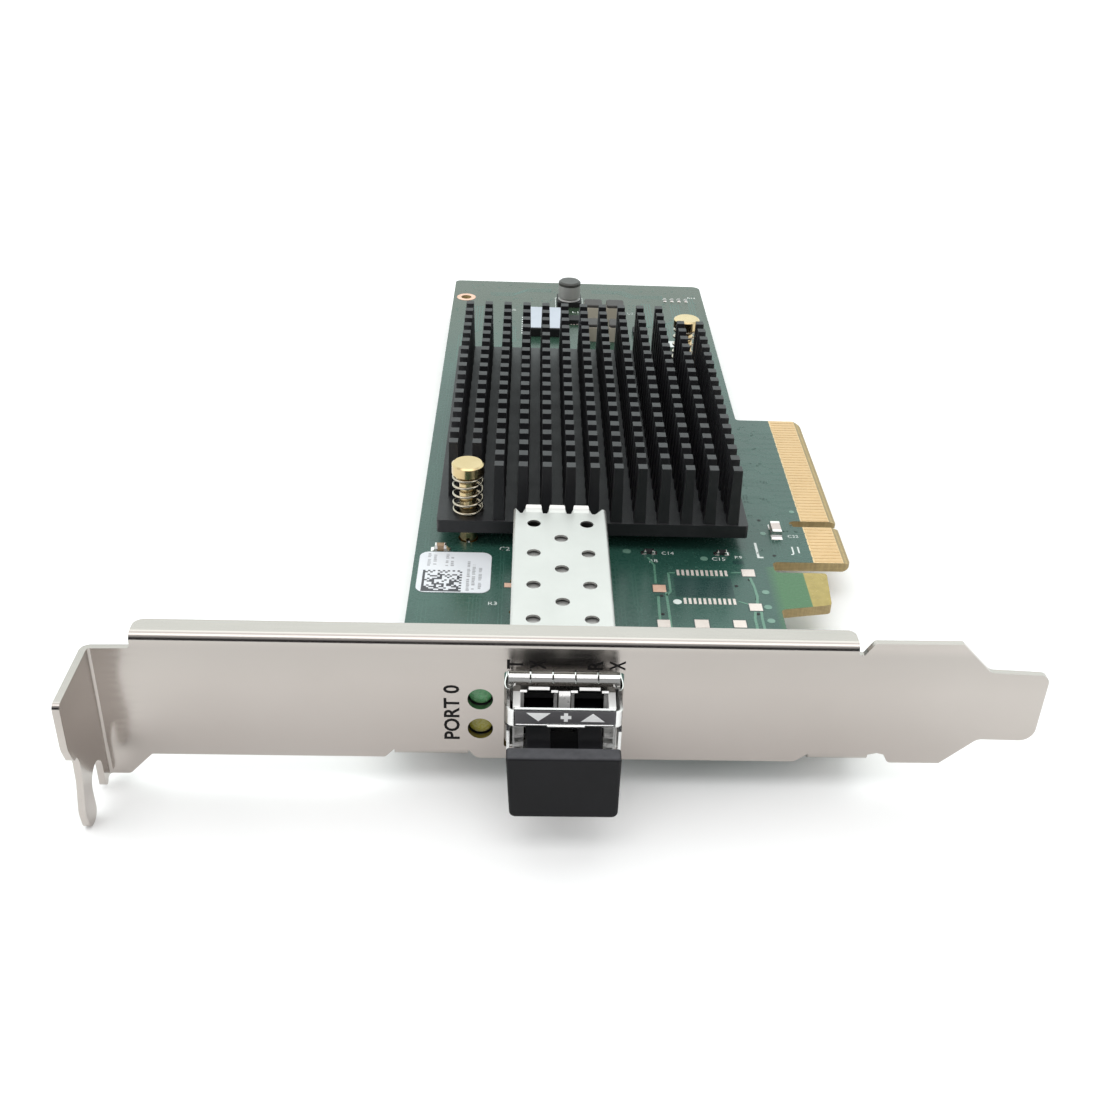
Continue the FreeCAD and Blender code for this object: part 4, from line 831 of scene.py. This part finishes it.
bundle(38.4, 47.6, 38.4, 120.0, 2, 0.5, 0.2, on_top)
bundle(91.0, 60.0, 91.0, 95.0, 3, 0.5, 0.18, on_top)
bundle(91.6, 99.0, 90.4, 160.0, 3, 0.55, 0.2, on_top)
bundle(40.0, 121.0, 42.6, 152.0, 4, 0.6, 0.2, on_top)
bundle(46.0, 120.0, 50.0, 140.0, 5, 0.5, 0.2, on_top)
bundle(45.0, 160.0, 58.6, 163.0, 4, 0.6, 0.24, on_top)
bundle(68.0, 163.0, 84.0, 160.5, 4, 0.6, 0.24, on_top)
bundle(77.0, 128.0, 80.0, 156.0, 4, 0.6, 0.22, on_top)
bundle(84.0, 135.0, 86.5, 156.0, 4, 0.6, 0.22, on_top)
for x0, y0, x1, y1, n in ((37.8, 19.0, 51.0, 33.6, 26), (67.0, 20.0, 92.0, 31.0, 34), (68.0, 42.8, 92.0, 47.8, 22), (90.0, 46.0, 98.4, 60.0, 26),
                          (90.0, 60.0, 98.0, 96.0, 60), (37.8, 119.0, 92.0, 134.0, 70), (37.8, 134.0, 52.0, 167.0, 44), (76.0, 134.0, 92.0, 167.0, 60),
                          (53.0, 149.5, 78.0, 167.0, 54)):
    for _ in range(n):
        x, y = rng.uniform(x0, x1), rng.uniform(y0, y1)
        d.ring(x, y, 0.13, 0.28, 0, 0.012, on_top, FNT, n=10)
# pads under the packages and a plated ring around the tooling hole
d.ring(39.6, 157.5, 1.15, 2.1, 0, 0.04, on_top, COP, n=32)
for x, y in ((64.0, 144.4), (77.6, 138.6)):
    for i in range(4):
        for k in (-1, 1):
            d.block(x - 1.2 + 0.65 * i, y + k * 1.6 - 0.25, x - 0.85 + 0.65 * i, y + k * 1.6 + 0.25, 0, 0.04, on_top, PAD)
d.block(59.6, 152.4, 59.75, 158.6, 0, 0.012, on_top, INK)
d.block(65.65, 152.4, 65.8, 158.6, 0, 0.012, on_top, INK)
d.block(59.6, 158.6, 65.8, 158.75, 0, 0.012, on_top, INK)
ART = ["tinned_pad", "silk_ink", "trace_mask", "via_mask", "dark_mask", "copper_pad", "hole_painted_shade", "faint_mask"]
d.make("board_art_top", "card", ART)

# solder side
d = Draw()
rng = random.Random(19)
for i in range(38):
    y = 57.65 + 1.5 + i
    if i % 2 == 0:
        bundle(99.6, y, 88.0 - 0.5 * (i % 5), y + (2.2 if i % 4 else -1.6), 2, 0.4, 0.17, on_bottom, TRC, 0.2 + 0.5 * rng.random())
for x0, y0, x1, y1, n in ((44.0, 22.0, 46.0, 60.0, 6), (72.0, 20.0, 76.0, 64.0, 8), (82.0, 22.0, 80.0, 58.0, 6), (40.0, 64.0, 41.0, 118.0, 4),
                          (84.0, 64.0, 86.0, 118.0, 6), (48.0, 122.0, 52.0, 160.0, 6), (80.0, 122.0, 84.0, 162.0, 7)):
    bundle(x0, y0, x1, y1, n, 0.55, 0.2, on_bottom, TRC)
for _ in range(330):
    x, y = rng.uniform(38.0, 92.0), rng.uniform(14.0, 166.0)
    d.ring(x, y, 0.13, 0.3, 0, 0.032, on_bottom, VIA, n=10)
for i in range(18):
    for j in range(18):
        if (i + j) % 2 == 0 and (i < 6 or i > 11 or j < 6 or j > 11):
            d.ring(62.0 - 10.6 + 1.25 * i, 84.0 - 10.6 + 1.25 * j, 0.13, 0.28, 0, 0.032, on_bottom, VIA, n=8)
for _ in range(24):
    x, y = rng.uniform(39.0, 90.0), rng.uniform(20.0, 164.0)
    d.disc(x, y, 0.5, 0, 0.04, on_bottom, PAD, n=14)
for txt, x, y, s in (("C31", 50.5, 96.4, 0.9), ("C45", 70.4, 96.4, 0.9), ("TP1", 46.2, 70.4, 0.9), ("TP2", 80.0, 70.4, 0.9), ("C60", 58.0, 151.0, 0.9)):
    d.words(txt, -x, y, -x + s * 0.72 * len(txt), y + s, 0, 0.012, lambda u, v, w: (-u, v, BOT - w), INK)
d.make("board_art_bottom", "card", ART)

# soldered pins under the cage and the lamps
d = Draw()


def cone(x, y, r0, r1, h, to, n=16):
    rings = [[to(x + r * math.cos(2 * math.pi * i / n), y + r * math.sin(2 * math.pi * i / n), w) for i in range(n)]
             for r, w in ((r0, 0.0), (r0, 0.05), (r0 * 0.62, 0.16), (r1 * 1.15, h * 0.55), (r1, h))]
    d.stack(rings, 0, smooth=True)


for sx in (-1, 1):
    for y in (4.5, 13.0, 21.5, 30.0, 38.5):
        cone(PORT + sx * 6.85, y, 1.0, 0.34, 0.8, on_bottom)
for dx in (-1.27, 1.27):
    for y in (4.2, 6.7):
        cone(48.68 + dx, y, 0.75, 0.26, 0.7, on_bottom)
d.make("pin_solder", "card", ["solder"])

# ------------------------------------------------------------------- floor and light
FLOOR_Z = put((0, 0, -22.77)).z
me = bpy.data.meshes.new("floor")
bm = bmesh.new()
bmesh.ops.create_grid(bm, x_segments=1, y_segments=1, size=3.0)
bm.to_mesh(me)
bm.free()
floor = bpy.data.objects.new("floor", me)
floor.location = (0, 0, FLOOR_Z)
bpy.context.scene.collection.objects.link(floor)
m, nt, b = new_mat("pale_floor")
link(nt, tint(nt, noise(nt, coords(nt), 9.0, 2.0), (0.905, 0.905, 0.90), (0.925, 0.925, 0.92)), b.inputs["Base Color"])
b.inputs["Roughness"].default_value = 0.75
b.inputs["Specular IOR Level"].default_value = 0.2
b.inputs["Emission Color"].default_value = (1, 1, 1, 1)
b.inputs["Emission Strength"].default_value = 0.06
me.materials.append(m)


def area(name, loc, target, sx, sy, watts, color=(1, 1, 1)):
    li = bpy.data.lights.new(name, "AREA")
    li.shape = "RECTANGLE"
    li.size, li.size_y = sx, sy
    li.energy = watts
    li.color = color
    o = bpy.data.objects.new(name, li)
    o.location = loc
    o.rotation_euler = (Vector(target) - Vector(loc)).to_track_quat("-Z", "Y").to_euler()
    bpy.context.scene.collection.objects.link(o)
    return o


area("overhead", (-0.05, 0.40, 0.95), (-0.05, 0.02, 0.0), 1.3, 1.0, 3.0)
area("top_front", (-0.05, -0.30, 1.0), (-0.05, -0.10, 0.0), 1.0, 0.5, 3.0)
area("left_side", (-0.85, -0.10, 0.45), (-0.05, 0.0, 0.0), 0.7, 0.6, 2.0)
area("front_left", (-0.70, -0.62, 0.42), (-0.05, -0.06, 0.0), 0.4, 0.35, 1.4)
area("front_right", (0.60, -0.62, 0.42), (-0.05, -0.06, 0.0), 0.4, 0.35, 1.4)

# pale room, darker on the camera's side
w = bpy.data.worlds.new("studio")
bpy.context.scene.world = w
w.use_nodes = True
nt = w.node_tree
bg = next(n for n in nt.nodes if n.type == "BACKGROUND")
tc = nt.nodes.new("ShaderNodeTexCoord")
sep = nt.nodes.new("ShaderNodeSeparateXYZ")
link(nt, tc.outputs["Generated"], sep.inputs[0])
front = spread(nt, sep.outputs["Y"], 1.0, 0.0, -0.75, -0.15)
low = spread(nt, sep.outputs["Z"], 1.0, 0.0, 0.45, 0.75)
dark = math2(nt, "MULTIPLY", front, low)
col = mixc(nt, dark, (0.86, 0.87, 0.88), (0.05, 0.05, 0.055))
# a bright wall behind the card
wall = math2(nt, "MULTIPLY", spread(nt, sep.outputs["Y"], 0.0, 1.0, 0.10, 0.45), spread(nt, sep.outputs["Z"], 1.0, 0.0, 0.80, 0.95))
col = mixc(nt, wall, col, (1.78, 1.95, 1.92))
link(nt, col, bg.inputs["Color"])
bg.inputs["Strength"].default_value = 0.75

sc = bpy.context.scene
sc.view_settings.view_transform = "Standard"
sc.view_settings.look = "None"
sc.cycles.use_denoising = True

# --------------------------------------------------------------------------- camera
PITCH, YAW, ROLL = math.radians(32.398), math.radians(3.336), math.radians(2.843)
FOCAL, CX, CY = 1353.712, 591.815, 582.044
EYE = (54.025, -135.331, 94.717)
fwd = Vector((math.sin(YAW) * math.cos(PITCH), math.cos(YAW) * math.cos(PITCH), -math.sin(PITCH)))
right = Vector((math.cos(YAW), -math.sin(YAW), 0.0))
up = right.cross(fwd)
r2 = right * math.cos(ROLL) + up * math.sin(ROLL)
u2 = up * math.cos(ROLL) - right * math.sin(ROLL)
cam = bpy.data.cameras.new("camera")
cam.sensor_fit = "HORIZONTAL"
cam.sensor_width = 36.0
cam.lens = FOCAL / 1100.0 * 36.0
cam.shift_x = (550.0 - CX) / 1100.0
cam.shift_y = (CY - 550.0) / 1100.0
cam.clip_start = 0.01
cam.clip_end = 20.0
co = bpy.data.objects.new("camera", cam)
m = Matrix((r2, u2, -fwd)).transposed().to_4x4()
m.translation = put(EYE)
co.matrix_world = m
sc.collection.objects.link(co)
sc.camera = co

bpy.context.view_layer.update()
